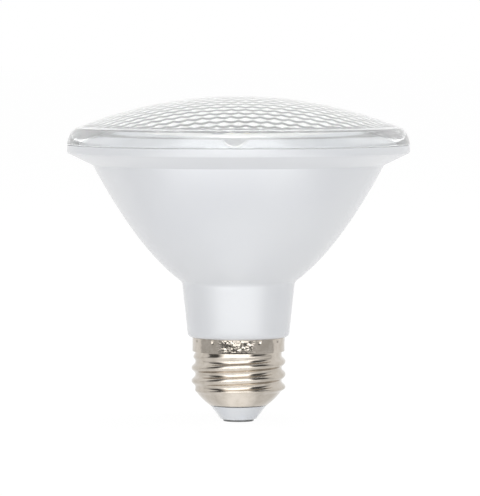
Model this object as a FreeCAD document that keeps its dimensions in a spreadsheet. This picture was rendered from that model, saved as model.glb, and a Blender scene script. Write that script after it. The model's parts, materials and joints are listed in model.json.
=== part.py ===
import FreeCAD, Part
import math
import os
import re
import Sketcher
from FreeCAD import Vector, Placement, Rotation

# PAR30 short-neck LED spotlight lamp with a medium screw base.
# Base down, Z up, origin at the middle of the centre contact's lower face. Millimetres.

sizes = {
    # centre contact and insulator
    "contact_radius": 4.2,
    "contact_thickness": 0.8,
    "contact_proud": 0.25,
    "contact_edge_round": 0.3,
    "contact_shank_radius": 1.0,
    "contact_shank_length": 6.0,
    "nose_rim_width": 0.8,
    "nose_height": 4.15,
    "nose_round": 0.6,
    # screw shell
    "shell_wall": 0.3,
    "shell_lip_radius": 7.9,
    "shell_lip_width": 0.5,
    "shell_bowl_margin": 0.25,
    "shell_bowl_height": 4.2,
    "shell_bowl_curve": 16.0,
    "thread_length": 11.0,
    "thread_crest_radius": 13.1,
    "thread_depth": 1.05,
    "thread_pitch": 3.629,
    "thread_crest_height": 5.15,
    "thread_fade": 1.6,
    "collar_inset": 0.25,
    "collar_length": 3.9,
    "crimp_count": 12,
    "crimp_radius": 0.7,
    "crimp_depth": 0.35,
    "crimp_drop": 1.1,
    "crimp_turn": 3.3,
    # housing
    "stem_length": 9.1,
    "stem_wall": 1.4,
    "neck_length": 15.34,
    "collar_overhang": 1.2,
    "neck_flare": 1.65,
    "neck_base_round": 1.2,
    "neck_top_round": 1.5,
    "neck_wall": 1.6,
    "shoulder_rise": 0.5,
    "bowl_length": 32.53,
    "bowl_wall_lift": 3.0,
    "rim_cone_width": 7.225,
    "rim_cone_height": 3.48,
    "rim_band_height": 2.16,
    "rim_radius": 47.625,
    "rim_round": 1.2,
    "seam_land": 3.325,
    "lip_wall": 1.4,
    "lip_height": 2.0,
    "ledge_depth": 2.4,
    "notch_top_width": 7.2,
    "notch_base_width": 3.8,
    "notch_depth": 1.7,
    "notch_offset": 1.0,
    # lens and its bead
    "seam_gap": 0.1,
    "lens_lip_gap": 0.787,
    "lens_dome_radius": 120.5,
    "lens_wall": 2.0,
    "lens_skirt_width": 2.225,
    "lens_corner_round": 2.0,
    "lens_skirt_curve": 6.0,
    "lens_side_gap": 0.3,
    "gate_clearance": 0.3,
    "gate_length": 2.0,
    "gate_root": 0.5,
    "pebble_border": 3.1,
    "pebble_pitch": 3.85,
    "pebble_height": 0.5,
    "pebble_margin": 0.385,
    "bead_inset": 1.1,
    "bead_width": 1.0,
    "bead_groove_depth": 0.7,
    # heat sink, board and reflector
    "sink_gap": 0.25,
    "sink_wall_lift": 1.8,
    "sink_floor_height": 5.66,
    "sink_floor_thickness": 2.0,
    "sink_top_drop": 12.6,
    "pad_inset": 0.2,
    "pad_thickness": 0.4,
    "board_side_gap": 1.7,
    "led_board_thickness": 1.5,
    "lead_hole_radius": 3.2,
    "screw_count": 3,
    "screw_radius": 1.25,
    "screw_head_radius": 2.1,
    "screw_head_height": 1.5,
    "screw_head_gap": 0.3,
    "led_width": 3.0,
    "led_height": 0.7,
    "led_well_radius": 1.15,
    "led_well_depth": 0.35,
    "inner_ring_count": 6,
    "outer_ring_count": 12,
    "terminal_width": 2.0,
    "terminal_height": 1.4,
    "reflector_foot_inset": 0.9,
    "reflector_foot_height": 0.6,
    "reflector_wall": 1.1,
    "reflector_side_gap": 0.2,
    "reflector_flange": 1.2,
    # driver board
    "driver_thickness": 1.2,
    "driver_side_gap": 0.45,
    "tongue_side_gap": 0.7,
    "tongue_length": 11.5,
    "driver_height": 16.0,
    "slot_depth": 1.0,
    "guide_thickness": 1.2,
    "guide_length": 8.0,
    "guide_root": 0.32,
    # transformer
    "core_width": 13.0,
    "core_depth": 6.0,
    "core_height": 12.5,
    "core_leg": 3.2,
    "core_limb": 2.0,
    "bobbin_side_gap": 0.3,
    "bobbin_wall": 0.5,
    "transformer_height": 10.0,
    # capacitors: offset is from the axis, lift is above the board's foot or the shoulder
    "input_can_length": 13.5,
    "input_can_offset": 3.4,
    "input_can_lift": 0.3,
    "input_can_gap": 0.4,
    "output_can_length": 13.5,
    "output_can_offset": 6.2,
    "output_can_lift": 1.5,
    "output_can_gap": 0.67,
    "can_round": 0.6,
    "film_width": 4.5,
    "film_offset": 1.8,
    "film_lift": 0.5,
    "film_gap": 0.7,
    # choke
    "choke_length": 5.0,
    "choke_offset": 4.6,
    "choke_lift": 0.5,
    "choke_drop": 0.25,
    "choke_gap": 0.97,
    "choke_flange": 0.83,
    "choke_waist_radius": 1.6,
    # chips and small parts
    "bridge_width": 4.7,
    "bridge_depth": 2.5,
    "bridge_height": 3.8,
    "bridge_offset": 2.3,
    "bridge_drop": 5.0,
    "chip_width": 5.0,
    "chip_depth": 1.5,
    "chip_height": 4.0,
    "chip_offset": 2.0,
    "chip_lift": 5.0,
    "diode_width": 2.6,
    "diode_depth": 2.3,
    "diode_height": 4.3,
    "diode_offset": 4.0,
    "diode_gap": 1.6,
    "resistor_count": 5,
    "resistor_width": 1.25,
    "resistor_depth": 0.6,
    "resistor_height": 2.0,
    "resistor_gap": 0.65,
    "resistor_offset": 1.0,
    "resistor_lift": 1.6,
    "varistor_thickness": 3.4,
    "varistor_offset": 1.7,
    "varistor_lift": 0.4,
    "varistor_gap": 0.62,
    "fuse_radius": 1.5,
    "fuse_length": 8.0,
    "fuse_offset": 4.5,
    "fuse_lift": 2.0,
    # leads: pad is where one is soldered, run its first stretch square to the board
    "lead_radius": 0.55,
    "lead_spread": 0.96,
    "lead_pad_spread": 1.28,
    "lead_pad_drop": 3.0,
    "lead_pad_run": 2.8,
    "lead_slack": 3.5,
    "live_pad_spread": 1.5,
    "live_pad_run": 3.2,
    "live_pad_lift": 3.0,
    "live_lead_slack": 3.8,
    "neutral_pad_spread": 3.2,
    "neutral_pad_run": 2.6,
    "neutral_pad_lift": 1.8,
    "neutral_elbow": 5.0,
    # clearances
    "seat_gap": 0.05,
    "part_gap": 0.1,
}

doc = FreeCAD.newDocument("spotlight_lamp")
sheet = doc.addObject("Spreadsheet::Sheet", "Sizes")
for row, (alias, number) in enumerate(sizes.items(), start=1):
    sheet.set(f"A{row}", alias)
    sheet.set(f"B{row}", str(number))
    sheet.setAlias(f"B{row}", alias)
doc.recompute()


def value(expression):
    """The number that an expression of size names comes to."""
    return float(sheet.evalExpression(str(expression)))


def linked(expression):
    """The same expression as other objects write it, with the sheet's name."""
    return re.sub(r"[a-z]+(?:_[a-z]+)+", lambda name: "Sizes." + name.group(0), str(expression))


# radii, each worked out from the sizes
nose_radius = "(contact_radius + nose_rim_width)"
thread_root = "(thread_crest_radius - thread_depth)"
collar_radius = "(thread_crest_radius - collar_inset)"
shell_bowl_radius = f"({thread_root} + shell_bowl_margin)"
thread_seat = f"({thread_root} - shell_wall - 3 * seat_gap)"
stem_bore = f"({thread_seat} - stem_wall)"
neck_base_radius = f"({collar_radius} + collar_overhang)"
neck_top_radius = f"({neck_base_radius} + neck_flare)"
neck_bore = f"({neck_base_radius} - neck_wall)"
bowl_radius = "(rim_radius - rim_cone_width)"
focal_length = f"(({bowl_radius} ^ 2 - {neck_top_radius} ^ 2) / (4 * bowl_length))"
lip_radius = "(rim_radius - seam_land)"
lip_bore = f"({lip_radius} - lip_wall)"
bead_inner = f"({lip_radius} + bead_inset)"
bead_outer = f"({bead_inner} + bead_width)"
lens_corner_radius = "(rim_radius - lens_skirt_width)"
lens_bore = f"({lip_radius} + lens_side_gap)"
pebble_zone = f"({lens_bore} - pebble_border)"

# heights, each worked out from the sizes
nose_z = "contact_proud"
shell_lip_z = f"({nose_z} + nose_height)"
thread_z = f"({shell_lip_z} + shell_bowl_height)"
collar_z = f"({thread_z} + thread_length)"
neck_z = f"({collar_z} + collar_length)"
neck_top_z = f"({neck_z} + neck_length)"
vertex_z = f"({neck_top_z} - {neck_top_radius} ^ 2 / (4 * {focal_length}))"
bowl_top_z = f"({neck_top_z} + bowl_length)"
seam_z = f"({bowl_top_z} + rim_cone_height + rim_band_height)"
lip_top_z = f"({seam_z} + lip_height)"
ledge_z = f"({seam_z} - ledge_depth)"
shoulder_z = f"({neck_z} + shoulder_rise)"
lens_z = f"({seam_z} + seam_gap)"
underside_radius = "(lens_dome_radius - lens_wall)"
lens_centre_z = f"({lip_top_z} + lens_lip_gap - sqrt({underside_radius} ^ 2 - {lens_bore} ^ 2))"
sink_z = f"({neck_top_z} + sink_floor_height)"
sink_floor_z = f"({sink_z} + sink_floor_thickness)"
sink_top_z = f"({ledge_z} - sink_top_drop)"
led_board_z = f"({sink_floor_z} + pad_thickness)"
led_z = f"({led_board_z} + led_board_thickness)"
driver_z = f"({shoulder_z} - tongue_length)"
driver_top_z = f"({shoulder_z} + driver_height)"


def bowl_height(radius, lift):
    """Height of the bowl's parabola, lifted, at a radius."""
    return f"({vertex_z} + {lift} + ({radius}) ^ 2 / (4 * {focal_length}))"


def bowl_width(height, lift):
    """Radius of the bowl's parabola, lifted, at a height."""
    return f"sqrt(4 * {focal_length} * ({height} - {vertex_z} - {lift}))"


def bowl_pole(radius_a, radius_b, lift):
    """Where the tangents at two radii of the parabola cross."""
    height = f"({vertex_z} + {lift} + ({radius_a}) * ({radius_b}) / (4 * {focal_length}))"
    return "spline", f"(({radius_a}) + ({radius_b})) / 2", height


def dome_height(radius, wall):
    """Height of the lens dome, or of its underside, at a radius."""
    return f"({lens_centre_z} + sqrt((lens_dome_radius - {wall}) ^ 2 - ({radius}) ^ 2))"


# what the bowl holds takes its radii from the bowl's wall
sink_outer_lift = "(bowl_wall_lift + sink_gap)"
sink_inner_lift = f"({sink_outer_lift} + sink_wall_lift)"
ledge_radius = bowl_width(ledge_z, "bowl_wall_lift")
led_board_radius = f"({bowl_width(sink_floor_z, sink_inner_lift)} - board_side_gap)"
pad_radius = f"({led_board_radius} - pad_inset)"
reflector_foot = f"({led_board_radius} - reflector_foot_inset)"
reflector_mouth = f"({ledge_radius} - reflector_side_gap - reflector_wall)"
screw_circle = f"({reflector_foot} - screw_head_radius - screw_head_gap)"
outer_ring = f"({screw_circle} - screw_head_radius - part_gap - led_width / 2)"
inner_ring = f"({outer_ring} - led_width - terminal_width)"
outer_ring_across = f"({outer_ring} * cos(180 deg / outer_ring_count))"
terminal_spot = f"({outer_ring_across} - (led_width + terminal_width) / 2 - part_gap)"

# and what the stem and neck hold takes them from their bores
board_face = "(driver_thickness / 2)"
driver_half_width = f"({neck_bore} - driver_side_gap)"
tongue_half_width = f"({stem_bore} - tongue_side_gap)"
bobbin_width = "(core_width - 2 * core_limb - 2 * bobbin_side_gap)"


def snug_radius(bore, gap, offset):
    """Radius of a round part that stands on the board's face and clears a bore by a gap."""
    reach = f"({bore} - {gap})"
    near = f"({board_face} + part_gap)"
    return f"(({reach} ^ 2 - {offset} ^ 2 - {near} ^ 2) / (2 * ({reach} + {near})))"


def snug_reach(bore, gap, offset):
    """How far from the axis a corner at an offset may reach inside a bore."""
    return f"sqrt(({bore} - {gap}) ^ 2 - ({offset}) ^ 2)"


input_can_radius = snug_radius(stem_bore, "input_can_gap", "input_can_offset")
output_can_radius = snug_radius(neck_bore, "output_can_gap", "output_can_offset")
choke_radius = snug_radius(stem_bore, "choke_gap", "choke_offset")
core_low_z = f"({shoulder_z} + transformer_height - core_height / 2)"
choke_z = f"({core_low_z} - choke_drop - choke_length)"
film_height = f"({choke_z} - choke_lift - {driver_z} - film_lift)"
film_reach = snug_reach(stem_bore, "film_gap", "film_width + film_offset")
film_depth = f"({film_reach} - {board_face})"
bobbin_reach = snug_reach(neck_bore, "seat_gap", f"{bobbin_width} / 2")
bobbin_depth = f"({bobbin_reach} - {board_face} - part_gap)"
varistor_reach = snug_reach(stem_bore, "varistor_gap", f"{board_face} + varistor_thickness")
varistor_radius = f"(({varistor_reach} - varistor_offset) / 2)"


# sketches and solids

def origin_plane(body, role):
    return next(item for item in body.Origin.OriginFeatures if item.Role == role)


def fix_point(sketch, geometry, point, across, up):
    """Dimensions that tie one point of a sketch to the sizes."""
    for kind, expression in (("DistanceX", across), ("DistanceY", up)):
        number = value(expression)
        ends = (-1, 1, geometry, point)
        if number < 0:
            ends = (geometry, point, -1, 1)
            expression = f"-({expression})"
        index = sketch.addConstraint(Sketcher.Constraint(kind, *ends, abs(number)))
        sketch.setExpression(f"Constraints[{index}]", linked(expression))


def arc_between(start, end, radius, side):
    """An arc of a given radius; side 1 has its centre to the left of the way."""
    chord = end - start
    middle = (start + end) * 0.5
    reach = math.sqrt(max(radius ** 2 - (chord.Length / 2) ** 2, 0))
    left = Vector(-chord.y, chord.x, 0).normalize()
    centre = middle + left * (reach * side)
    first, last = (start, end) if side > 0 else (end, start)
    angles = [math.atan2(spot.y - centre.y, spot.x - centre.x) for spot in (first, last)]
    if angles[1] < angles[0]:
        angles[1] += 2 * math.pi
    circle = Part.Circle(centre, Vector(0, 0, 1), radius)
    return Part.ArcOfCircle(circle, *angles)


def draw_outline(sketch, corners):
    """A closed outline. Each corner is (across, up), and may add the side that leaves it:
    ("arc", radius, side) or ("spline", pole across, pole up)."""
    spots = [Vector(value(corner[0]), value(corner[1]), 0) for corner in corners]
    sides = []
    for index, corner in enumerate(corners):
        start = spots[index]
        end = spots[(index + 1) % len(corners)]
        shape = corner[2] if len(corner) > 2 else ("line",)
        if shape[0] == "arc":
            side = sketch.addGeometry(arc_between(start, end, value(shape[1]), shape[2]), False)
        elif shape[0] == "spline":
            pole = Vector(value(shape[1]), value(shape[2]), 0)
            curve = Part.BSplineCurve()
            curve.buildFromPolesMultsKnots([start, pole, end], [3, 3], [0, 1], False, 2)
            side = sketch.addGeometry(curve, False)
        else:
            side = sketch.addGeometry(Part.LineSegment(start, end), False)
        sides.append((side, shape))
    # an arc runs anticlockwise, so one that was drawn the other way has its ends swapped
    ends = []
    for (side, shape), start in zip(sides, spots):
        turned_round = (sketch.Geometry[side].StartPoint - start).Length > 1e-6
        ends.append((2, 1) if turned_round else (1, 2))
    for index, (side, shape) in enumerate(sides):
        following = (index + 1) % len(sides)
        joint = (side, ends[index][1], sides[following][0], ends[following][0])
        sketch.addConstraint(Sketcher.Constraint("Coincident", *joint))
    for index, (side, shape) in enumerate(sides):
        fix_point(sketch, side, ends[index][0], corners[index][0], corners[index][1])
        if shape[0] == "arc":
            datum = sketch.addConstraint(Sketcher.Constraint("Radius", side, value(shape[1])))
            sketch.setExpression(f"Constraints[{datum}]", linked(shape[1]))
        if shape[0] == "spline":
            first_pole = sketch.GeometryCount
            sketch.exposeInternalGeometry(side)
            fix_point(sketch, first_pole + 1, 3, shape[1], shape[2])


def new_sketch(body, name, role, lift=None):
    sketch = body.newObject("Sketcher::SketchObject", name)
    sketch.AttachmentSupport = (origin_plane(body, role), [""])
    sketch.MapMode = "FlatFace"
    if lift is not None:
        sketch.AttachmentOffset = Placement(Vector(0, 0, value(lift)), Rotation())
        sketch.setExpression("AttachmentOffset.Base.z", linked(lift))
    return sketch


def circle_edges(shape, radius, height):
    """Names of the round edges at one radius and height."""
    found = []
    for index, edge in enumerate(shape.Edges, start=1):
        box = edge.BoundBox
        level = box.ZLength < 1e-3 and abs(box.ZMin - height) < 1e-3
        if level and abs(box.XMax - radius) < 1e-3:
            found.append(f"Edge{index}")
    return found


def turned(name, corners, rounds=()):
    """A body turned round Z from one outline, with rounded rings (radius, height, round)."""
    body = doc.addObject("PartDesign::Body", name)
    body.Label = name
    sketch = new_sketch(body, name + "_outline", "XZ_Plane")
    draw_outline(sketch, corners)
    feature = body.newObject("PartDesign::Revolution", name + "_turned")
    feature.Profile = (sketch, [""])
    feature.ReferenceAxis = (sketch, ["V_Axis"])
    feature.Angle = 360
    doc.recompute()
    for index, (radius, height, size) in enumerate(rounds, start=1):
        edges = circle_edges(feature.Shape, value(radius), value(height))
        fillet = body.newObject("PartDesign::Fillet", f"{name}_round_{index}")
        fillet.Base = (feature, edges)
        fillet.setExpression("Radius", linked(size))
        doc.recompute()
        feature = fillet
    return body


def padded(body, name, role, outlines, length, lift=None, midplane=False, cut=False,
           turned_round=False):
    """A pad or pocket of one or more outlines in a body."""
    sketch = new_sketch(body, name + "_outline", role, lift)
    for corners in outlines:
        draw_outline(sketch, corners)
    kind = "PartDesign::Pocket" if cut else "PartDesign::Pad"
    before = body.Shape.Volume if body.Tip else 0.0
    feature = body.newObject(kind, name)
    feature.Profile = (sketch, [""])
    feature.Midplane = midplane
    feature.Reversed = turned_round
    feature.setExpression("Length", linked(length))
    doc.recompute()
    if abs(body.Shape.Volume - before) < 1e-3:
        raise RuntimeError(name + " changes nothing")
    return feature


def place(item, spot, turn=None):
    """Puts a primitive at (x, y, z) expressions, turned by a rotation."""
    if turn is not None:
        item.Placement = Placement(Vector(), turn)
    for axis, expression in zip("xyz", spot):
        item.setExpression(f"Placement.Base.{axis}", linked(expression))


def block(name, size, corner):
    """A box of three size expressions from its lowest corner."""
    item = doc.addObject("Part::Box", name)
    item.Label = name
    for side, expression in zip(("Length", "Width", "Height"), size):
        item.setExpression(side, linked(expression))
    place(item, corner)
    return item


def rod(name, radius, height, spot, turn=None):
    """A cylinder from the middle of its foot."""
    item = doc.addObject("Part::Cylinder", name)
    item.Label = name
    item.setExpression("Radius", linked(radius))
    item.setExpression("Height", linked(height))
    place(item, spot, turn)
    return item


def joined(name, items):
    item = doc.addObject("Part::MultiFuse", name)
    item.Label = name
    item.Shapes = items
    return item


def grouped(name, items):
    item = doc.addObject("Part::Compound", name)
    item.Label = name
    item.Links = items
    return item


def drilled(name, base, tool):
    item = doc.addObject("Part::Cut", name)
    item.Label = name
    item.Base = base
    item.Tool = tool
    return item


def formed(name, shape):
    """A feature whose shape is worked out below from the sizes."""
    item = doc.addObject("Part::Feature", name)
    item.Label = name
    item.Shape = shape
    return item


def ring_spots(radius, count, first):
    """Centres evenly round the axis, as expressions."""
    spots = []
    for index in range(int(round(value(count)))):
        angle = f"({first} + {index} * 360 / {count})"
        spots.append((f"{radius} * cos({angle} * 1 deg)", f"{radius} * sin({angle} * 1 deg)"))
    return spots


# centre contact: a flat button with a shank that pinches the live lead

def make_contact():
    shank_top = "(contact_thickness + contact_shank_length)"
    corners = [
        ("0", "0"),
        ("contact_radius", "0"),
        ("contact_radius", "contact_thickness"),
        ("contact_shank_radius", "contact_thickness"),
        ("contact_shank_radius", shank_top),
        ("0", shank_top),
    ]
    return turned("centre_contact", corners, [("contact_radius", "0", "contact_edge_round")])


# insulator: a moulded nose outside the shell and a plug inside its bowl

def make_insulator():
    hole = "(contact_shank_radius + seat_gap)"
    plug = "(shell_lip_radius - shell_lip_width - part_gap)"
    plug_top = f"({thread_z} - 2 * shell_wall)"
    nose_top = f"({shell_lip_z} - seat_gap)"
    corners = [
        (hole, "contact_thickness"),
        ("contact_radius + seat_gap", "contact_thickness"),
        ("contact_radius + seat_gap", nose_z),
        (nose_radius, nose_z),
        ("shell_lip_radius - seat_gap", nose_top),
        (plug, nose_top),
        (plug, f"{shell_lip_z} + shell_wall / 2"),
        (f"{shell_bowl_radius} - 4 * shell_wall", plug_top),
        (hole, plug_top),
    ]
    return turned("base_insulator", corners, [(nose_radius, nose_z, "nose_round")])


# screw shell: thin sheet drawn into a bowl, a rolled right-hand thread and a smooth collar

def thread_radius(angle, height, inset):
    """Radius of the rolled sheet; inset is 0 outside and one wall inside."""
    pitch = value("thread_pitch")
    root = value(thread_root)
    depth = value("thread_depth")
    low = value(thread_z)
    high = value(collar_z)
    phase = (height - low - value("thread_crest_height")) / pitch - angle / (2 * math.pi)
    wave = 0.5 + 0.5 * math.cos(2 * math.pi * phase)
    fade = 1.0
    for distance in (height - low, high - height):
        share = min(max(distance / value("thread_fade"), 0.0), 1.0)
        fade *= share * share * (3 - 2 * share)
    return root - inset + depth * wave * fade


def thread_section(height, inset, points=24):
    """One closed level curve of the thread."""
    spots = []
    for index in range(points):
        angle = 2 * math.pi * index / points
        radius = thread_radius(angle, height, inset)
        spots.append(Vector(radius * math.cos(angle), radius * math.sin(angle), height))
    curve = Part.BSplineCurve()
    ticks = [index / points for index in range(points + 1)]
    curve.interpolate(Points=spots, PeriodicFlag=True, Parameters=ticks)
    return Part.Wire([curve.toShape()])


def thread_solid(inset, overlap, steps_per_turn=8):
    low = value(thread_z) - overlap
    high = value(collar_z) + overlap
    steps = math.ceil((high - low) / value("thread_pitch") * steps_per_turn)
    heights = [low + (high - low) * step / steps for step in range(steps + 1)]
    return Part.makeLoft([thread_section(height, inset) for height in heights], True, True)


def bowl_solid(lip_radius, top_radius, top_height):
    """The solid inside the drawn bowl, from the lip to a level top."""
    low = value(shell_lip_z)
    start = Vector(lip_radius, low, 0)
    end = Vector(top_radius, top_height, 0)
    arc = arc_between(start, end, value("shell_bowl_curve"), 1).toShape()
    edges = [
        Part.makeLine(Vector(0, low, 0), start),
        arc,
        Part.makeLine(end, Vector(0, top_height, 0)),
        Part.makeLine(Vector(0, top_height, 0), Vector(0, low, 0)),
    ]
    face = Part.Face(Part.Wire(edges))
    face.rotate(Vector(), Vector(1, 0, 0), 90)
    return face.revolve(Vector(), Vector(0, 0, 1), 360)


def crimp_balls(radius):
    """Balls that press the crimp dimples, all round the collar."""
    count = int(round(value("crimp_count")))
    reach = value(f"{collar_radius} + crimp_radius - crimp_depth")
    height = value(neck_z) - value("crimp_drop")
    balls = []
    for index in range(count):
        angle = math.radians(-90 - value("crimp_turn") + 360 * index / count)
        spot = Vector(reach * math.cos(angle), reach * math.sin(angle), height)
        balls.append(Part.makeSphere(radius, spot))
    return balls


def make_shell():
    wall = value("shell_wall")
    low = value(collar_z)
    high = value(neck_z)
    radius = value(collar_radius)
    bowl_top = value(thread_z)
    lip = value("shell_lip_radius")
    inner_lip = lip - value("shell_lip_width")
    top = value(shell_bowl_radius)
    outside = Part.makeCylinder(radius, high - low, Vector(0, 0, low))
    outside = outside.cut(crimp_balls(value("crimp_radius")))
    outside = outside.fuse([thread_solid(0, wall), bowl_solid(lip, top, bowl_top)])
    inside = Part.makeCylinder(radius - wall, high - low - wall, Vector(0, 0, low + wall))
    inside = inside.cut(crimp_balls(value("crimp_radius") + wall))
    bowl = bowl_solid(inner_lip, top - wall, bowl_top - wall)
    inside = inside.fuse([thread_solid(wall, 2 * wall), bowl])
    return formed("screw_shell", outside.cut(inside))


# housing: one white moulding

def make_housing():
    collar_seat = f"({collar_radius} - shell_wall - seat_gap)"
    seat_z = f"({collar_z} + shell_wall + seat_gap)"
    inner_neck = f"({neck_top_radius} - neck_wall)"
    groove_z = f"({seam_z} - bead_groove_depth)"
    corners = [
        (stem_bore, f"{collar_z} - stem_length"),
        (thread_seat, f"{collar_z} - stem_length"),
        (thread_seat, seat_z),
        (collar_seat, seat_z),
        (collar_seat, neck_z),
        (neck_base_radius, neck_z),
        (neck_top_radius, neck_top_z, bowl_pole(neck_top_radius, bowl_radius, "0")),
        (bowl_radius, bowl_top_z),
        ("rim_radius", f"{bowl_top_z} + rim_cone_height"),
        ("rim_radius", seam_z),
        (bead_outer, seam_z),
        (bead_outer, groove_z),
        (bead_inner, groove_z),
        (bead_inner, seam_z),
        (lip_radius, seam_z),
        (lip_radius, lip_top_z),
        (lip_bore, lip_top_z),
        (lip_bore, ledge_z),
        (ledge_radius, ledge_z, bowl_pole(ledge_radius, inner_neck, "bowl_wall_lift")),
        (inner_neck, bowl_height(inner_neck, "bowl_wall_lift")),
        (neck_bore, shoulder_z),
        (stem_bore, shoulder_z),
    ]
    rounds = [
        (neck_base_radius, neck_z, "neck_base_round"),
        (neck_top_radius, neck_top_z, "neck_top_round"),
        ("rim_radius", f"{bowl_top_z} + rim_cone_height", "rim_round"),
    ]
    body = turned("housing_blank", corners, rounds)

    # notch in the lip for the lens's gate lug, at the front
    floor_z = f"({lip_top_z} - notch_depth)"
    notch = [
        ("-notch_offset - notch_base_width / 2", floor_z),
        ("-notch_offset + notch_base_width / 2", floor_z),
        ("-notch_offset + notch_top_width / 2", f"{lip_top_z} + seat_gap"),
        ("-notch_offset - notch_top_width / 2", f"{lip_top_z} + seat_gap"),
    ]
    padded(body, "lip_notch", "XZ_Plane", [notch], "rim_radius", cut=True, turned_round=True)

    # two pairs of guides that hold the driver board's edges
    near = "(driver_thickness / 2 + part_gap)"
    far = f"({near} + guide_thickness)"
    inner = f"({driver_half_width} - slot_depth)"
    outer = f"({neck_base_radius} - guide_root)"
    for name, side in (("right_guides", ""), ("left_guides", "-")):
        pairs = []
        for up in ("", "-"):
            pairs.append([
                (side + inner, up + near),
                (side + outer, up + near),
                (side + outer, up + far),
                (side + inner, up + far),
            ])
        padded(body, name, "XY_Plane", pairs, "guide_length", lift=f"{shoulder_z} + slot_depth")
    pockets = formed("crimp_pockets", Part.makeCompound(
        crimp_balls(value("crimp_radius + shell_wall + seat_gap"))))
    return drilled("housing", body, pockets)


# lens: a shallow dome on a rounded skirt, with a pebbled underside and a gate lug

cell_corners = [(1, 1), (0, 2), (-1, 1), (-1, -1), (0, -2), (1, -1)]


def lattice_spot(steps):
    """Where a point of the hexagon lattice lies, from its whole steps across and up."""
    half_pitch = value("pebble_pitch") / 2
    return half_pitch * steps[0], half_pitch / math.sqrt(3) * steps[1]


def pebble_cells():
    """Centres, in lattice steps, of the whole hexagons that fit in the pebbled zone."""
    pitch = value("pebble_pitch")
    reach = value(pebble_zone) - pitch / math.sqrt(3) - value("pebble_margin")
    rows = int(reach / pitch) + 2
    cells = []
    for row in range(-rows, rows + 1):
        for column in range(-rows, rows + 1):
            steps = (2 * column + row % 2, 3 * row)
            if math.hypot(*lattice_spot(steps)) < reach:
                cells.append(steps)
    return cells


def pebbled(blank):
    """The lens with its flat inner disc swapped for six-sided pebbles on the dome's underside."""
    zone = value(pebble_zone)
    level = value(dome_height(pebble_zone, "lens_wall"))
    centre = value(lens_centre_z)
    inner = value(underside_radius)
    tip = inner - value("pebble_height")

    def on_dome(radius, steps):
        x, y = lattice_spot(steps)
        return Vector(x, y, centre + math.sqrt(radius ** 2 - x * x - y * y))

    # edges used by one cell only are the rim of the pebbled patch, and lie level
    edges = {}
    cells = []
    for middle in pebble_cells():
        ring = [(middle[0] + across, middle[1] + up) for across, up in cell_corners]
        cells.append((middle, ring))
        for pair in zip(ring, ring[1:] + ring[:1]):
            edges.setdefault(frozenset(pair), []).append(pair)
    rim_pairs = [pairs[0] for pairs in edges.values() if len(pairs) == 1]
    rim_spots = {spot for pair in rim_pairs for spot in pair}

    def corner(steps):
        if steps in rim_spots:
            return Vector(*lattice_spot(steps), level)
        return on_dome(inner, steps)

    faces = []
    for middle, ring in cells:
        top = on_dome(tip, middle)
        for start, end in zip(ring, ring[1:] + ring[:1]):
            faces.append(Part.Face(Part.makePolygon([corner(start), top, corner(end), corner(start)])))
    # the level land between the pebbled patch and the plain ring
    after = dict(rim_pairs)
    outline = [rim_pairs[0][0]]
    while len(outline) <= len(rim_pairs):
        outline.append(after[outline[-1]])
    patch_rim = Part.makePolygon([corner(steps) for steps in outline])
    kept = []
    for face in blank.Faces:
        box = face.BoundBox
        flat = box.ZLength < 1e-4 and abs(box.ZMin - level) < 1e-4
        if flat and abs(box.XMax - zone) < 1e-3:
            land = face
        else:
            kept.append(face)
    faces.append(Part.Face([land.OuterWire, patch_rim], "Part::FaceMakerBullseye"))
    shell = Part.makeShell(kept + faces)
    shell.sewShape()
    solid = Part.makeSolid(shell)
    if solid.Volume < 0:
        solid.reverse()
    return solid


def make_lens():
    zone_z = dome_height(pebble_zone, "lens_wall")
    corner_z = dome_height(lens_corner_radius, "0")
    corners = [
        ("0", dome_height("0", "0"), ("arc", "lens_dome_radius", -1)),
        (lens_corner_radius, corner_z, ("arc", "lens_skirt_curve", -1)),
        ("rim_radius", lens_z),
        (lens_bore, lens_z),
        (lens_bore, dome_height(lens_bore, "lens_wall"), ("arc", underside_radius, 1)),
        (pebble_zone, zone_z),
        ("0", zone_z),
    ]
    corner_ring = (lens_corner_radius, corner_z, "lens_corner_round")
    body = turned("lens_blank", corners, [corner_ring])
    low = f"({lip_top_z} - notch_depth + gate_clearance)"
    high = f"({lip_top_z} + seat_gap)"
    lug = [
        ("-notch_offset - notch_base_width / 2 + gate_clearance", low),
        ("-notch_offset + notch_base_width / 2 - gate_clearance", low),
        ("-notch_offset + notch_top_width / 2 - gate_clearance", high),
        ("-notch_offset - notch_top_width / 2 + gate_clearance", high),
    ]
    padded(body, "gate_lug", "XZ_Plane", [lug], "gate_length", lift=f"{lens_bore} + gate_root - gate_length")
    return formed("lens_cover", pebbled(body.Shape))


def make_bead():
    inner = f"({bead_inner} + seat_gap)"
    outer = f"({bead_outer} - seat_gap)"
    low = f"({seam_z} - bead_groove_depth)"
    corners = [(inner, low), (outer, low), (outer, lens_z), (inner, lens_z)]
    return turned("lens_gasket", corners)


# reflector: a white bowl that stands on the board's edge and hangs from the housing's ledge

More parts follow.
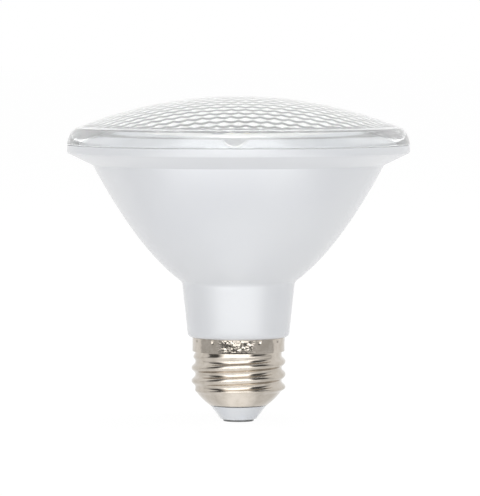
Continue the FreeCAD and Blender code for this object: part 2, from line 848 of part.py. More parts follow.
def make_reflector():
    foot_top = f"({led_z} + reflector_foot_height)"
    foot_outer = f"({reflector_foot} + reflector_wall)"
    flange_top = f"({ledge_z} + reflector_flange)"
    flange_radius = f"({lip_bore} - 3 * seat_gap)"
    mouth_outer = f"({reflector_mouth} + reflector_wall)"

    def side(start, end):
        # a parabola about the axis from foot to mouth, so its middle pole is known
        (radius_a, height_a), (radius_b, height_b) = start, end
        slope = f"(({height_b}) - ({height_a})) / (({radius_b}) ^ 2 - ({radius_a}) ^ 2)"
        rise = f"({height_a}) + ({radius_a}) * (({radius_b}) - ({radius_a})) * ({slope})"
        return "spline", f"(({radius_a}) + ({radius_b})) / 2", rise

    inner_foot = (reflector_foot, foot_top)
    inner_mouth = (reflector_mouth, flange_top)
    outer_foot = (foot_outer, foot_top)
    outer_mouth = (mouth_outer, ledge_z)
    corners = [
        (reflector_foot, led_z),
        (foot_outer, led_z),
        outer_foot + (side(outer_foot, outer_mouth),),
        outer_mouth,
        (flange_radius, ledge_z),
        (flange_radius, flange_top),
        inner_mouth + (side(inner_mouth, inner_foot),),
        inner_foot,
    ]
    return turned("reflector", corners)


# heat sink and what is screwed to its floor

def make_heat_sink():
    foot = bowl_width(sink_z, sink_outer_lift)
    outer_top = bowl_width(sink_top_z, sink_outer_lift)
    inner_top = bowl_width(sink_top_z, sink_inner_lift)
    inner_foot = bowl_width(sink_floor_z, sink_inner_lift)
    corners = [
        ("lead_hole_radius", sink_z),
        (foot, sink_z, bowl_pole(foot, outer_top, sink_outer_lift)),
        (outer_top, sink_top_z),
        (inner_top, sink_top_z, bowl_pole(inner_top, inner_foot, sink_inner_lift)),
        (inner_foot, sink_floor_z),
        ("lead_hole_radius", sink_floor_z),
    ]
    body = turned("sink_blank", corners)
    return drilled("heat_sink", body, screw_holes("sink_holes", sink_z, "sink_floor_thickness"))


def screw_holes(name, height, depth):
    holes = []
    spots = ring_spots(screw_circle, "screw_count", "0")
    for index, (x, y) in enumerate(spots, start=1):
        spot = (x, y, f"{height} - part_gap")
        long = f"{depth} + 2 * part_gap"
        holes.append(rod(f"{name}_{index}", "screw_radius + part_gap", long, spot))
    return joined(name, holes)


def make_plate(name, radius, height, thickness):
    """A round plate with the lead hole and the screw holes."""
    hole = "lead_hole_radius"
    top = f"({height} + {thickness})"
    blank = turned(name + "_blank", [(hole, height), (radius, height), (radius, top), (hole, top)])
    return drilled(name, blank, screw_holes(name + "_holes", height, thickness))


def make_screws():
    screws = []
    spots = ring_spots(screw_circle, "screw_count", "0")
    length = "(led_board_thickness + pad_thickness + sink_floor_thickness)"
    for index, (x, y) in enumerate(spots, start=1):
        shank = rod(f"screw_shank_{index}", "screw_radius", length, (x, y, f"{led_z} - {length}"))
        head = rod(f"screw_head_{index}", "screw_head_radius", "screw_head_height", (x, y, led_z))
        screws.append(joined(f"board_screw_{index}", [shank, head]))
    return grouped("board_screws", screws)


def led_spots():
    inner = ring_spots(inner_ring, "inner_ring_count", "180 / inner_ring_count")
    outer = ring_spots(outer_ring, "outer_ring_count", "180 / outer_ring_count")
    return inner + outer


def make_leds():
    """Square white packages with a round well, and the phosphor that fills each well."""
    packages = []
    fills = []
    half = "led_width / 2"
    well_z = f"{led_z} + led_height - led_well_depth"
    for index, (x, y) in enumerate(led_spots(), start=1):
        corner = (f"{x} - {half}", f"{y} - {half}", led_z)
        cube = block(f"led_cube_{index}", ("led_width", "led_width", "led_height"), corner)
        well = rod(f"led_well_{index}", "led_well_radius", "led_height", (x, y, well_z))
        packages.append(drilled(f"led_package_{index}", cube, well))
        fill_size = ("led_well_radius - seat_gap / 2", "led_well_depth - seat_gap")
        fills.append(rod(f"led_fill_{index}", *fill_size, (x, y, well_z)))
    return [grouped("led_packages", packages), grouped("led_phosphors", fills)]


def make_terminals():
    items = []
    half = "terminal_width / 2"
    for name, side in (("right_terminal", ""), ("left_terminal", "-")):
        corner = (f"{side}{terminal_spot} - {half}", f"-{half}", led_z)
        items.append(block(name, ("terminal_width", "terminal_width", "terminal_height"), corner))
    return grouped("lead_terminals", items)


# driver board and its components; the front of the board looks along -Y

def make_driver_board():
    body = doc.addObject("PartDesign::Body", "driver_board")
    body.Label = "driver_board"
    corners = [
        (f"-{tongue_half_width}", driver_z),
        (tongue_half_width, driver_z),
        (tongue_half_width, shoulder_z),
        (driver_half_width, shoulder_z),
        (driver_half_width, driver_top_z),
        (f"-{driver_half_width}", driver_top_z),
        (f"-{driver_half_width}", shoulder_z),
        (f"-{tongue_half_width}", shoulder_z),
    ]
    padded(body, "board_blank", "XZ_Plane", [corners], "driver_thickness", midplane=True)
    return body


def make_transformer():
    """A two-window core, a flanged bobbin round its middle leg and the winding."""
    middle_y = f"(-{board_face} - part_gap - {bobbin_depth} / 2)"
    middle_z = f"({shoulder_z} + transformer_height)"
    window = "((core_width - core_leg) / 2 - core_limb)"
    window_height = "(core_height - 2 * core_limb)"
    low = f"{middle_z} - {window_height} / 2"

    def centred(name, width, depth, height):
        corner = (f"-({width}) / 2", f"{middle_y} - ({depth}) / 2", f"{middle_z} - ({height}) / 2")
        return block(name, (width, depth, height), corner)

    frame = centred("core_blank", "core_width", "core_depth", "core_height")
    windows = []
    sides = (("core_window_right", "core_leg / 2"), ("core_window_left", f"-core_leg / 2 - {window}"))
    for name, corner_x in sides:
        size = (window, "core_depth + 2 * part_gap", window_height)
        windows.append(block(name, size, (corner_x, f"{middle_y} - core_depth / 2 - part_gap", low)))
    core = drilled("transformer_core", frame, joined("core_windows", windows))

    tube_width = "(core_leg + 2 * part_gap + 2 * bobbin_wall)"
    tube_depth = "(core_depth + 2 * part_gap + 2 * bobbin_wall)"
    tube_height = f"({window_height} - 2 * part_gap)"
    parts = [centred("bobbin_tube", tube_width, tube_depth, tube_height)]
    for name, sign in (("bobbin_upper_flange", "+"), ("bobbin_lower_flange", "-")):
        flange_z = f"{middle_z} {sign} ({tube_height} - bobbin_wall) / 2 - bobbin_wall / 2"
        corner = (f"-{bobbin_width} / 2", f"{middle_y} - {bobbin_depth} / 2", flange_z)
        parts.append(block(name, (bobbin_width, bobbin_depth, "bobbin_wall"), corner))
    bore = centred("bobbin_bore", "core_leg + 2 * part_gap", "core_depth + 2 * part_gap", "core_height")
    bobbin = drilled("transformer_bobbin", joined("bobbin_blank", parts), bore)

    coil_height = f"{tube_height} - 2 * bobbin_wall - 2 * part_gap"
    coil_width = f"{bobbin_width} - 4 * part_gap"
    coil_depth = f"{bobbin_depth} - 4 * part_gap"
    coil = centred("coil_blank", coil_width, coil_depth, coil_height)
    hole = centred("coil_bore", f"{tube_width} + 2 * part_gap", f"{tube_depth} + 2 * part_gap",
                   "core_height")
    return [core, bobbin, drilled("transformer_winding", coil, hole)]


def make_can(name, radius, length, x, y, low):
    """An electrolytic capacitor: a can with rounded ends, standing beside the board."""
    body = turned(name + "_body", [
        ("0", "0"),
        (radius, "0"),
        (radius, length),
        ("0", length),
    ], [(radius, length, "can_round")])
    shape = doc.addObject("Part::Compound", name)
    shape.Label = name
    shape.Links = [body]
    place(shape, (x, y, low))
    return shape


def make_cans():
    """The two electrolytic capacitors, one each side of the board."""
    front = (f"-{board_face} - part_gap - {input_can_radius}", f"{driver_z} + input_can_lift")
    back = (f"{board_face} + part_gap + {output_can_radius}", f"{shoulder_z} + output_can_lift")
    return [
        make_can("input_capacitor", input_can_radius, "input_can_length", "input_can_offset", *front),
        make_can("output_capacitor", output_can_radius, "output_can_length", "-output_can_offset", *back),
    ]


def make_film_capacitor():
    corner = ("-film_width - film_offset", f"-{board_face} - {film_depth}", f"{driver_z} + film_lift")
    return block("film_capacitor", ("film_width", film_depth, film_height), corner)


def make_choke():
    """A drum core and the coil in its waist."""
    x = "(-choke_offset)"
    y = f"(-{board_face} - part_gap - {choke_radius})"
    top_flange = f"{choke_z} + choke_length - choke_flange"
    drum = [
        rod("choke_lower_flange", choke_radius, "choke_flange", (x, y, choke_z)),
        rod("choke_waist", "choke_waist_radius", "choke_length", (x, y, choke_z)),
        rod("choke_upper_flange", choke_radius, "choke_flange", (x, y, top_flange)),
    ]
    coil_low = f"{choke_z} + choke_flange + part_gap"
    coil_length = "choke_length - 2 * choke_flange - 2 * part_gap"
    coil = rod("choke_coil_blank", f"{choke_radius} - part_gap", coil_length, (x, y, coil_low))
    bore = rod("choke_coil_bore", "choke_waist_radius + part_gap", "choke_length", (x, y, choke_z))
    return [joined("choke_core", drum), drilled("choke_winding", coil, bore)]


def make_small_parts():
    """Chips, fuse and varistor on the back of the board."""
    bridge = ("bridge_width", "bridge_depth", "bridge_height")
    chip = ("chip_width", "chip_depth", "chip_height")
    diode = ("diode_width", "diode_depth", "diode_height")
    chip_z = f"({shoulder_z} + chip_lift)"
    diode_z = f"{chip_z} + chip_height + diode_gap"
    sideways = Rotation(Vector(1, 0, 0), -90)
    varistor_x = f"{varistor_radius} + varistor_offset"
    varistor_z = f"{driver_z} + {varistor_radius} + varistor_lift"
    fuse_y = f"{board_face} + part_gap + fuse_radius"
    return [
        block("bridge_rectifier", bridge, ("-bridge_offset", board_face, f"{shoulder_z} - bridge_drop")),
        block("driver_chip", chip, ("chip_offset", board_face, chip_z)),
        block("output_diode", diode, ("diode_offset", board_face, diode_z)),
        rod("surge_varistor", varistor_radius, "varistor_thickness",
            (varistor_x, board_face, varistor_z), sideways),
        rod("fusible_resistor", "fuse_radius", "fuse_length",
            ("-fuse_radius - fuse_offset", fuse_y, f"{driver_z} + fuse_lift")),
    ]


def make_resistors():
    """A row of small chip resistors under the driver chip."""
    size = ("resistor_width", "resistor_depth", "resistor_height")
    chips = []
    for index in range(int(round(value("resistor_count")))):
        x = f"resistor_offset + {index} * (resistor_width + resistor_gap)"
        spot = (x, board_face, f"{shoulder_z} + resistor_lift")
        chips.append(block(f"chip_resistor_{index + 1}", size, spot))
    return grouped("chip_resistors", chips)


# leads: straight runs joined by arcs as large as the runs allow

def make_lead(name, spots):
    radius = value("lead_radius")
    spots = [Vector(*spot) for spot in spots]
    edges = []
    last = spots[0]
    bends = []
    for before, corner, after in zip(spots, spots[1:], spots[2:]):
        arriving = (corner - before).normalize()
        leaving = (after - corner).normalize()
        half_turn = arriving.getAngle(leaving) / 2
        set_back = 0.45 * min((corner - before).Length, (after - corner).Length)
        bend = set_back / math.tan(half_turn)
        start = corner - arriving * set_back
        end = corner + leaving * set_back
        centre_way = (leaving - arriving).normalize()
        centre = corner + centre_way * (bend / math.cos(half_turn))
        middle = centre - centre_way * bend
        edges.append(Part.LineSegment(last, start).toShape())
        edges.append(Part.Arc(start, middle, end).toShape())
        last = end
        bends.append(round(bend, 2))
    edges.append(Part.LineSegment(last, spots[-1]).toShape())
    path = Part.Wire(edges)
    section = Part.Wire([Part.Circle(spots[0], spots[1] - spots[0], radius).toShape()])
    tube = path.makePipeShell([section], True, False)
    share = tube.Volume / (math.pi * radius ** 2 * path.Length)
    print(f"{name}: bend radii {bends} mm, length {path.Length:.1f} mm, volume share {share:.4f}")
    return formed(name, tube)


def make_leads():
    face = value(board_face)
    low = value(driver_z)
    pad_z = value(f"{driver_top_z} - lead_pad_drop")
    pad_y = face + value("lead_pad_run")
    slack_z = value(f"{driver_top_z} + lead_slack")
    over_z = value(f"{led_z} + lead_radius + part_gap")
    reach = value(f"{terminal_spot} - terminal_width / 2")
    leads = []
    for name, side in (("positive_lead", 1), ("negative_lead", -1)):
        pad_x = side * value("lead_pad_spread")
        down_x = side * value("lead_spread")
        leads.append(make_lead(name, [
            (pad_x, face, pad_z),
            (pad_x, pad_y, pad_z),
            (down_x, 0, slack_z),
            (down_x, 0, over_z),
            (side * reach, 0, over_z),
        ]))

    shank_top = value("contact_thickness + contact_shank_length")
    pad_x = -value("live_pad_spread")
    pad_z = low + value("live_pad_lift")
    leads.append(make_lead("live_lead", [
        (pad_x, face, pad_z),
        (pad_x, face + value("live_pad_run"), pad_z),
        (0, 0, shank_top + value("live_lead_slack")),
        (0, 0, shank_top),
    ]))

    exit_z = value(f"{collar_z} - stem_length - 2 * lead_radius - part_gap")
    wall = value(f"{thread_root} - shell_wall - 2 * part_gap") * math.sqrt(0.5)
    pad_x = -value("neutral_pad_spread")
    pad_z = low + value("neutral_pad_lift")
    elbow = value("neutral_elbow")
    leads.append(make_lead("neutral_lead", [
        (pad_x, face, pad_z),
        (pad_x, face + value("neutral_pad_run"), pad_z),
        (-elbow, elbow, exit_z),
        (-wall, wall, exit_z),
    ]))
    return leads


nodes = [
    make_contact(),
    make_insulator(),
    make_shell(),
    make_housing(),
    make_lens(),
    make_bead(),
    make_reflector(),
    make_heat_sink(),
    make_plate("thermal_pad", pad_radius, sink_floor_z, "pad_thickness"),
    make_plate("led_board", led_board_radius, led_board_z, "led_board_thickness"),
    make_screws(),
    make_terminals(),
    make_driver_board(),
    make_film_capacitor(),
    make_resistors(),
]
nodes += make_leds()
nodes += make_transformer()
nodes += make_cans()
nodes += make_choke()
nodes += make_small_parts()
nodes += make_leads()
doc.recompute()

for item in doc.Objects:
    if "Invalid" in item.State or "Error" in item.State:
        raise RuntimeError(f"{item.Label} failed: {item.State}")
os.makedirs("parts", exist_ok=True)
for node in nodes:
    if node.Shape.isNull() or not node.Shape.isValid():
        raise RuntimeError(f"{node.Label} has no valid shape")
    node.Shape.exportStep(f"parts/{node.Label}.step")
    print(f"{node.Label}: {len(node.Shape.Solids)} solid, {node.Shape.Volume:.1f} mm3")
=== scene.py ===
import json
import math
import bmesh
import bpy
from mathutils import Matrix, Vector


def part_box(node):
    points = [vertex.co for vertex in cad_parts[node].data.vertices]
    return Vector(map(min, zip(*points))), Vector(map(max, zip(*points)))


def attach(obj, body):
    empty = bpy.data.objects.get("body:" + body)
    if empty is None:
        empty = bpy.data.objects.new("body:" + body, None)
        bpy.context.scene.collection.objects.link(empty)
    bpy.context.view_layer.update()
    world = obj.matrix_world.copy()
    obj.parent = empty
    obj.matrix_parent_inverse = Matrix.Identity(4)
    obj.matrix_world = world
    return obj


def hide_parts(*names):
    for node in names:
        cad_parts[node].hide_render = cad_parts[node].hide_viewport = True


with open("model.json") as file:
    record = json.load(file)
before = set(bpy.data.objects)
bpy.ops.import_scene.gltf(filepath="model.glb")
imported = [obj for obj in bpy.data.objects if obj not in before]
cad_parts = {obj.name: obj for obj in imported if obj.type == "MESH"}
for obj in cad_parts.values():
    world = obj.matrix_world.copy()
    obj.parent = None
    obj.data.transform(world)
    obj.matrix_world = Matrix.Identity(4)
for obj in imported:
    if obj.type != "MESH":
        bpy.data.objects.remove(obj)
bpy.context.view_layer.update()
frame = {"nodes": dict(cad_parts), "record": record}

# Reflector spotlight lamp with a medium screw base: base down, lens up, seen from just above its rim.
# Lengths are in millimetres and become metres where a mesh is made.

mm = 0.001
scene = bpy.context.scene
print("frame loaded:", len(frame["nodes"]), "pieces")


# small tools for meshes

weldReach = 0.001  # points this close become one
ringReach = 0.01  # points this close to a ring or a height belong to it


def heightsOf(node):
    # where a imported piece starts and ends, going up
    low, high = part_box(node)
    return low.z / mm, high.z / mm


def clamped(share):
    return min(max(share, 0.0), 1.0)


def eased(share):
    # leaves 0 and arrives at 1 gently
    return share * share * (3 - 2 * share)


def curvePoints(start, end, count, heightAt):
    # points (radius, height) along a curve given by its height at each radius, both ends included
    radii = [start + (end - start) * step / count for step in range(count + 1)]
    return [(radius, heightAt(radius)) for radius in radii]


def bulgedArc(start, end, radius, count):
    # points (radius, height) on an arc that bulges away from the axis, both ends included
    chord = Vector(end) - Vector(start)
    middle = (Vector(start) + Vector(end)) / 2
    inward = Vector((chord.y, -chord.x)).normalized()
    centre = middle + inward * math.sqrt(radius ** 2 - (chord.length / 2) ** 2)
    angles = [math.atan2(spot[1] - centre.y, spot[0] - centre.x) for spot in (start, end)]
    points = []
    for step in range(count + 1):
        angle = angles[0] + (angles[1] - angles[0]) * step / count
        points.append((centre.x + radius * math.cos(angle), centre.y + radius * math.sin(angle)))
    return points


def meshOf(name, bm):
    # a mesh of what was worked on, which is then let go
    mesh = bpy.data.meshes.new(name)
    bm.to_mesh(mesh)
    bm.free()
    return mesh


def addObject(name, data):
    # an object in the scene for a mesh, a lamp or a camera
    added = bpy.data.objects.new(name, data)
    scene.collection.objects.link(added)
    return added


def turned(outline, steps, closed=True):
    # an outline of (radius, height), spun once round the lamp's axis
    bm = bmesh.new()
    spots = [bm.verts.new((radius * mm, 0, height * mm)) for radius, height in outline]
    for start, end in zip(spots, spots[1:]):
        bm.edges.new((start, end))
    if closed:
        bm.edges.new((spots[-1], spots[0]))
    bmesh.ops.spin(bm, geom=bm.verts[:] + bm.edges[:], cent=(0, 0, 0), axis=(0, 0, 1),
                   angle=2 * math.pi, steps=steps, use_merge=True)
    bmesh.ops.remove_doubles(bm, verts=bm.verts, dist=weldReach * mm)
    bmesh.ops.recalc_face_normals(bm, faces=bm.faces)
    return bm


def ringEdges(bm, radius, height):
    # the edges that run round the axis at one radius and height
    reach = ringReach * mm
    found = set()
    for vert in bm.verts:
        level = abs(vert.co.z - height * mm) < reach
        if level and abs(vert.co.xy.length - radius * mm) < reach:
            found.add(vert)
    return [edge for edge in bm.edges if all(vert in found for vert in edge.verts)]


def roundRing(bm, radius, height, size, segments=4):
    # a round of a given radius on one ring: the bevel starts a tangent's length from the corner
    ring = ringEdges(bm, radius, height)
    turn = abs(ring[0].calc_face_angle())
    bmesh.ops.bevel(bm, geom=ring, offset=size * mm * math.tan(turn / 2), segments=segments,
                    profile=0.5, affect="EDGES", material=-1)


def finished(name, bm, slot, replaced, sharpDegrees=35, finish=None):
    # makes the object, smooth but for its sharp edges, and says what it rides on and stands for;
    # it wears its slot's finish, unless another is named
    mesh = meshOf(name, bm)
    piece = addObject(name, mesh)
    mesh.materials.append(finishes[finish or slot])
    mesh.shade_smooth()
    mesh.set_sharp_from_angle(angle=math.radians(sharpDegrees))
    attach(piece, "root")
    if replaced:
        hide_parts(*replaced)
    print("made", name, "with", len(mesh.polygons), "faces")
    return piece


# small tools for materials

# noise seldom leaves these spans, so each is stretched over the whole of a look's range
driftSpan = (0.35, 0.65)
grainSpan = (0.3, 0.7)
bumpDepth = 0.02


def hexColour(code):
    # an sRGB hex value as the linear colour that a node holds
    channels = [int(code[place:place + 2], 16) / 255 for place in (1, 3, 5)]
    linear = [part / 12.92 if part <= 0.04045 else ((part + 0.055) / 1.055) ** 2.4 for part in channels]
    return (*linear, 1.0)


def addNode(tree, kind, sockets=None, **settings):
    # one node, its own settings, and a value or a link for each socket named
    node = tree.nodes.new("ShaderNode" + kind)
    for name, setting in settings.items():
        setattr(node, name, setting)
    for name, source in (sockets or {}).items():
        if isinstance(source, bpy.types.NodeSocket):
            tree.links.new(source, node.inputs[name])
        else:
            node.inputs[name].default_value = source
    return node


def perMetre(size):
    # a noise's scale from the size of its grain in millimetres
    return 1 / (size * mm)


def startFinish(name):
    # a new material, its node tree and shader, and the place on the piece that its noise follows
    material = bpy.data.materials.new(name)
    material.use_nodes = True
    tree = material.node_tree
    return material, tree, tree.nodes["Principled BSDF"], addNode(tree, "TexCoord").outputs["Object"]


def emptyTree(owner):
    # the node tree of a material or a world, with nothing in it
    owner.use_nodes = True
    owner.node_tree.nodes.clear()
    return owner.node_tree


def surface(name, look):
    # colour that drifts slowly between two tones, roughness that varies with a fine grain, a low bump
    material, tree, shader, place = startFinish(name)
    if "stretch" in look:
        place = addNode(tree, "Mapping", {"Vector": place, "Scale": look["stretch"]}).outputs["Vector"]
    drift = addNode(tree, "TexNoise", {"Vector": place, "Scale": perMetre(look["drift"]), "Detail": 2.0})
    grain = addNode(tree, "TexNoise", {"Vector": place, "Scale": perMetre(look["grain"]), "Detail": 3.0})
    tone = addNode(tree, "MapRange", {"Value": drift.outputs["Fac"], "From Min": driftSpan[0],
                                      "From Max": driftSpan[1]})
    colour = addNode(tree, "Mix", {"Factor": tone.outputs["Result"], "A": hexColour(look["colour"]),
                                   "B": hexColour(look["second"])}, data_type="RGBA")
    rough = addNode(tree, "MapRange", {"Value": grain.outputs["Fac"], "From Min": grainSpan[0],
                                       "From Max": grainSpan[1], "To Min": look["roughness"][0],
                                       "To Max": look["roughness"][1]})
    bump = addNode(tree, "Bump", {"Height": grain.outputs["Fac"], "Strength": look["bump"],
                                  "Distance": bumpDepth * mm})
    if "scuff" in look:
        # coarse rubbing, above one height only
        height = addNode(tree, "SeparateXYZ", {0: place}).outputs["Z"]
        above = addNode(tree, "Math", {0: height, 1: look["scuffFrom"] * mm}, operation="GREATER_THAN")
        rub = addNode(tree, "TexNoise", {"Vector": place, "Scale": perMetre(look["scuff"]), "Detail": 1.0})
        depth = addNode(tree, "Math", {0: rub.outputs["Fac"], 1: above.outputs[0]}, operation="MULTIPLY")
        bump = addNode(tree, "Bump", {"Height": depth.outputs[0], "Strength": 1.0,
                                      "Distance": look["scuffDepth"] * mm, "Normal": bump.outputs["Normal"]})
    tree.links.new(colour.outputs["Result"], shader.inputs["Base Color"])
    tree.links.new(rough.outputs["Result"], shader.inputs["Roughness"])
    tree.links.new(bump.outputs["Normal"], shader.inputs["Normal"])
    shader.inputs["Metallic"].default_value = look.get("metallic", 0.0)
    if "ior" in look:
        shader.inputs["IOR"].default_value = look["ior"]
    if "coat" in look:
        shader.inputs["Coat Weight"].default_value = look["coat"]
        shader.inputs["Coat Roughness"].default_value = look["coatRoughness"]
    return material


# finishes: one for each slot of the record, one for the skirt, and a painted shade grey each for the gate lug
# and the shade line along the lip

# drift and grain are the sizes of a pattern in millimetres, and a grain that a pixel would lose is
# drawn as coarse as it needs to show
looks = {
    # ABS, injection moulded and satin: pale silvery white with a soft broad highlight
    "white_housing_plastic": {
        "colour": "#e6e8eb", "second": "#e3e5e9", "drift": 30.0, "grain": 0.35,
        "roughness": (0.34, 0.42), "bump": 0.05, "ior": 1.53, "coat": 1.0, "coatRoughness": 0.25},
    # filled polycarbonate, moulded: brighter and smoother than the housing, to throw the light forward
    "white_reflector_plastic": {
        "colour": "#f8f8f6", "second": "#f4f4f2", "drift": 20.0, "grain": 0.5,
        "roughness": (0.25, 0.35), "bump": 0.03, "ior": 1.58},
    # brass sheet, drawn, rolled and nickel plated: a warm grey mirror, rubbed round its collar
    "nickel_plated_sheet": {
        "colour": "#c8c0b6", "second": "#bcb4a9", "drift": 2.6, "grain": 0.45,
        "roughness": (0.06, 0.12), "bump": 0.12, "metallic": 1.0,
        "scuff": 1.2, "scuffDepth": 0.055, "scuffFrom": 20.1},
    # glazed ceramic, moulded and fired: cold white with a wet gloss
    "insulator_ceramic_white": {
        "colour": "#f4f7fb", "second": "#eef2f8", "drift": 4.0, "grain": 0.6,
        "roughness": (0.08, 0.16), "bump": 0.04, "ior": 1.52, "coat": 1.0, "coatRoughness": 0.06},
    # nickel-plated brass, pressed, with fine scuffs from the press: darker than the shell, a darkening that
    # is partly painted shade for the dim underside the contact faces
    "contact_nickel": {
        "colour": "#747575", "second": "#636464", "drift": 1.2, "grain": 0.25,
        "roughness": (0.2, 0.36), "bump": 0.2, "metallic": 1.0},
    # silicone, cast in place as a bead: matte and slightly grey
    "silicone_bead": {
        "colour": "#dcdcda", "second": "#d2d2cf", "drift": 2.0, "grain": 0.3,
        "roughness": (0.5, 0.6), "bump": 0.1, "ior": 1.41},
    # polycarbonate where the sprue was cut off, satin; its pale grey is painted shade, standing in for the
    # shadowed notch seen through the lug
    "lug_painted_shade_grey": {
        "colour": "#b3b4b6", "second": "#abacae", "drift": 1.5, "grain": 0.3,
        "roughness": (0.35, 0.45), "bump": 0.08, "ior": 1.585},
    # a greyish, slightly glossy line: painted shade for the dark gap between the lens and the top of the
    # housing's lip
    "shade_line_grey": {
        "colour": "#acadad", "second": "#a3a4a4", "drift": 2.0, "grain": 0.3,
        "roughness": (0.3, 0.4), "bump": 0.08, "ior": 1.5},
    # aluminium, pressed from sheet: pale grey with faint drawing lines up its wall
    "sink_aluminium": {
        "colour": "#d5d7d9", "second": "#c6c9cc", "drift": 5.0, "grain": 0.5, "stretch": (1.0, 1.0, 0.12),
        "roughness": (0.3, 0.45), "bump": 0.15, "metallic": 1.0},
    # filled silicone sheet, cut: flat matte grey
    "thermal_pad_grey": {
        "colour": "#8e9299", "second": "#83878e", "drift": 3.0, "grain": 0.2,
        "roughness": (0.6, 0.75), "bump": 0.15, "ior": 1.41},
    # white solder mask over copper, printed and cured: even and semi-gloss
    "white_board_mask": {
        "colour": "#f0f0ea", "second": "#e9e9e2", "drift": 3.0, "grain": 0.4,
        "roughness": (0.25, 0.35), "bump": 0.08, "ior": 1.5},
    # steel, turned and zinc plated: bright cold grey
    "screw_steel": {
        "colour": "#c3c6cb", "second": "#adb1b8", "drift": 1.0, "grain": 0.2,
        "roughness": (0.22, 0.36), "bump": 0.15, "metallic": 1.0},
    # white polyamide, moulded: small matte boxes round each chip
    "led_body_plastic": {
        "colour": "#f1f1ee", "second": "#e9e9e5", "drift": 1.0, "grain": 0.15,
        "roughness": (0.4, 0.5), "bump": 0.05, "ior": 1.53},
    # phosphor in silicone, dispensed: strong yellow under a smooth skin
    "phosphor_silicone": {
        "colour": "#f0c53c", "second": "#e8b92e", "drift": 0.6, "grain": 0.1,
        "roughness": (0.15, 0.22), "bump": 0.1, "ior": 1.41},
    # white polyamide, moulded: the leads' push-in blocks
    "terminal_plastic": {
        "colour": "#e8e8e4", "second": "#deded9", "drift": 1.0, "grain": 0.2,
        "roughness": (0.4, 0.5), "bump": 0.08, "ior": 1.53},
    # glass-filled epoxy under green solder mask: deep green, glossy, with the weave just felt
    "green_board": {
        "colour": "#1f6b3c", "second": "#195a32", "drift": 1.6, "grain": 0.5,
        "roughness": (0.25, 0.38), "bump": 0.2, "ior": 1.5},
    # ferrite, pressed and sintered: charcoal, dry and fine grained
    "ferrite": {
        "colour": "#3a3a3d", "second": "#2f2f32", "drift": 1.4, "grain": 0.12,
        "roughness": (0.5, 0.65), "bump": 0.25, "ior": 1.6},
    # phenolic, moulded: near black with a slight sheen
    "bobbin_plastic": {
        "colour": "#26241f", "second": "#1e1d19", "drift": 1.5, "grain": 0.2,
        "roughness": (0.35, 0.45), "bump": 0.1, "ior": 1.6},
    # polyester tape, wound: yellow with a film's gloss
    "winding_tape": {
        "colour": "#e2b23a", "second": "#d6a32e", "drift": 2.0, "grain": 0.3,
        "roughness": (0.2, 0.3), "bump": 0.1, "ior": 1.57},
    # enamelled copper wire, wound: red-brown, with the turns seen as fine rings
    "copper_winding": {
        "colour": "#b4622f", "second": "#8f4a22", "drift": 0.8, "grain": 0.25, "stretch": (0.15, 0.15, 1.0),
        "roughness": (0.2, 0.32), "bump": 0.6, "metallic": 1.0},
    # shrunk vinyl sleeve over an aluminium can: black-brown and smooth
    "can_sleeve": {
        "colour": "#2a2624", "second": "#231f1d", "drift": 3.0, "grain": 0.4,
        "roughness": (0.22, 0.3), "bump": 0.08, "ior": 1.53},
    # polypropylene film in a moulded box: dull red
    "film_case": {
        "colour": "#a8352c", "second": "#992d25", "drift": 2.0, "grain": 0.3,
        "roughness": (0.35, 0.45), "bump": 0.1, "ior": 1.5},
    # filled epoxy, transfer moulded: black and matte
    "chip_epoxy": {
        "colour": "#242426", "second": "#1c1c1e", "drift": 1.0, "grain": 0.12,
        "roughness": (0.5, 0.62), "bump": 0.2, "ior": 1.55},
    # epoxy dip over a zinc oxide disc: blue, glossy, slightly lumpy
    "varistor_coat": {
        "colour": "#2c5fa8", "second": "#265397", "drift": 1.6, "grain": 0.8,
        "roughness": (0.25, 0.35), "bump": 0.4, "ior": 1.55},
    # cement paint over a wound core: pale green-grey, dry
    "resistor_coat": {
        "colour": "#9fb3a6", "second": "#91a699", "drift": 1.0, "grain": 0.2,
        "roughness": (0.5, 0.62), "bump": 0.2, "ior": 1.5},
    # silicone wire jackets, extruded: soft, barely glossy
    "red_insulation": {
        "colour": "#b3261e", "second": "#a5201a", "drift": 2.0, "grain": 0.3,
        "roughness": (0.42, 0.52), "bump": 0.05, "ior": 1.41},
    "black_insulation": {
        "colour": "#202022", "second": "#19191b", "drift": 2.0, "grain": 0.3,
        "roughness": (0.42, 0.52), "bump": 0.05, "ior": 1.41},
    "white_insulation": {
        "colour": "#e9e9e6", "second": "#dfdfdb", "drift": 2.0, "grain": 0.3,
        "roughness": (0.42, 0.52), "bump": 0.05, "ior": 1.41},
}

# the lens's dome and skirt differ only in how clear they are
clearLook = {
    "colour": "#ffffff", "second": "#fafcfd", "drift": 12.0, "grain": 1.2, "bump": 0.02,
    "roughness": 0.03, "ior": 1.585, "domeClear": 0.9, "skirtClear": 0.8,
}


def clearPolycarbonate(name, clear):
    # clear polycarbonate, injection moulded: bends light strongly and is a little hazy in the skin
    material, tree, shader, place = startFinish(name)
    drift = addNode(tree, "TexNoise", {"Vector": place, "Scale": perMetre(clearLook["drift"]), "Detail": 2.0})
    grain = addNode(tree, "TexNoise", {"Vector": place, "Scale": perMetre(clearLook["grain"]), "Detail": 2.0})
    colour = addNode(tree, "Mix", {"Factor": drift.outputs["Fac"], "A": hexColour(clearLook["colour"]),
                                   "B": hexColour(clearLook["second"])}, data_type="RGBA")
    bump = addNode(tree, "Bump", {"Height": grain.outputs["Fac"], "Strength": clearLook["bump"],
                                  "Distance": bumpDepth * mm})
    tree.links.new(colour.outputs["Result"], shader.inputs["Base Color"])
    tree.links.new(bump.outputs["Normal"], shader.inputs["Normal"])
    shader.inputs["Roughness"].default_value = clearLook["roughness"]
    shader.inputs["Transmission Weight"].default_value = clear
    shader.inputs["IOR"].default_value = clearLook["ior"]
    return material


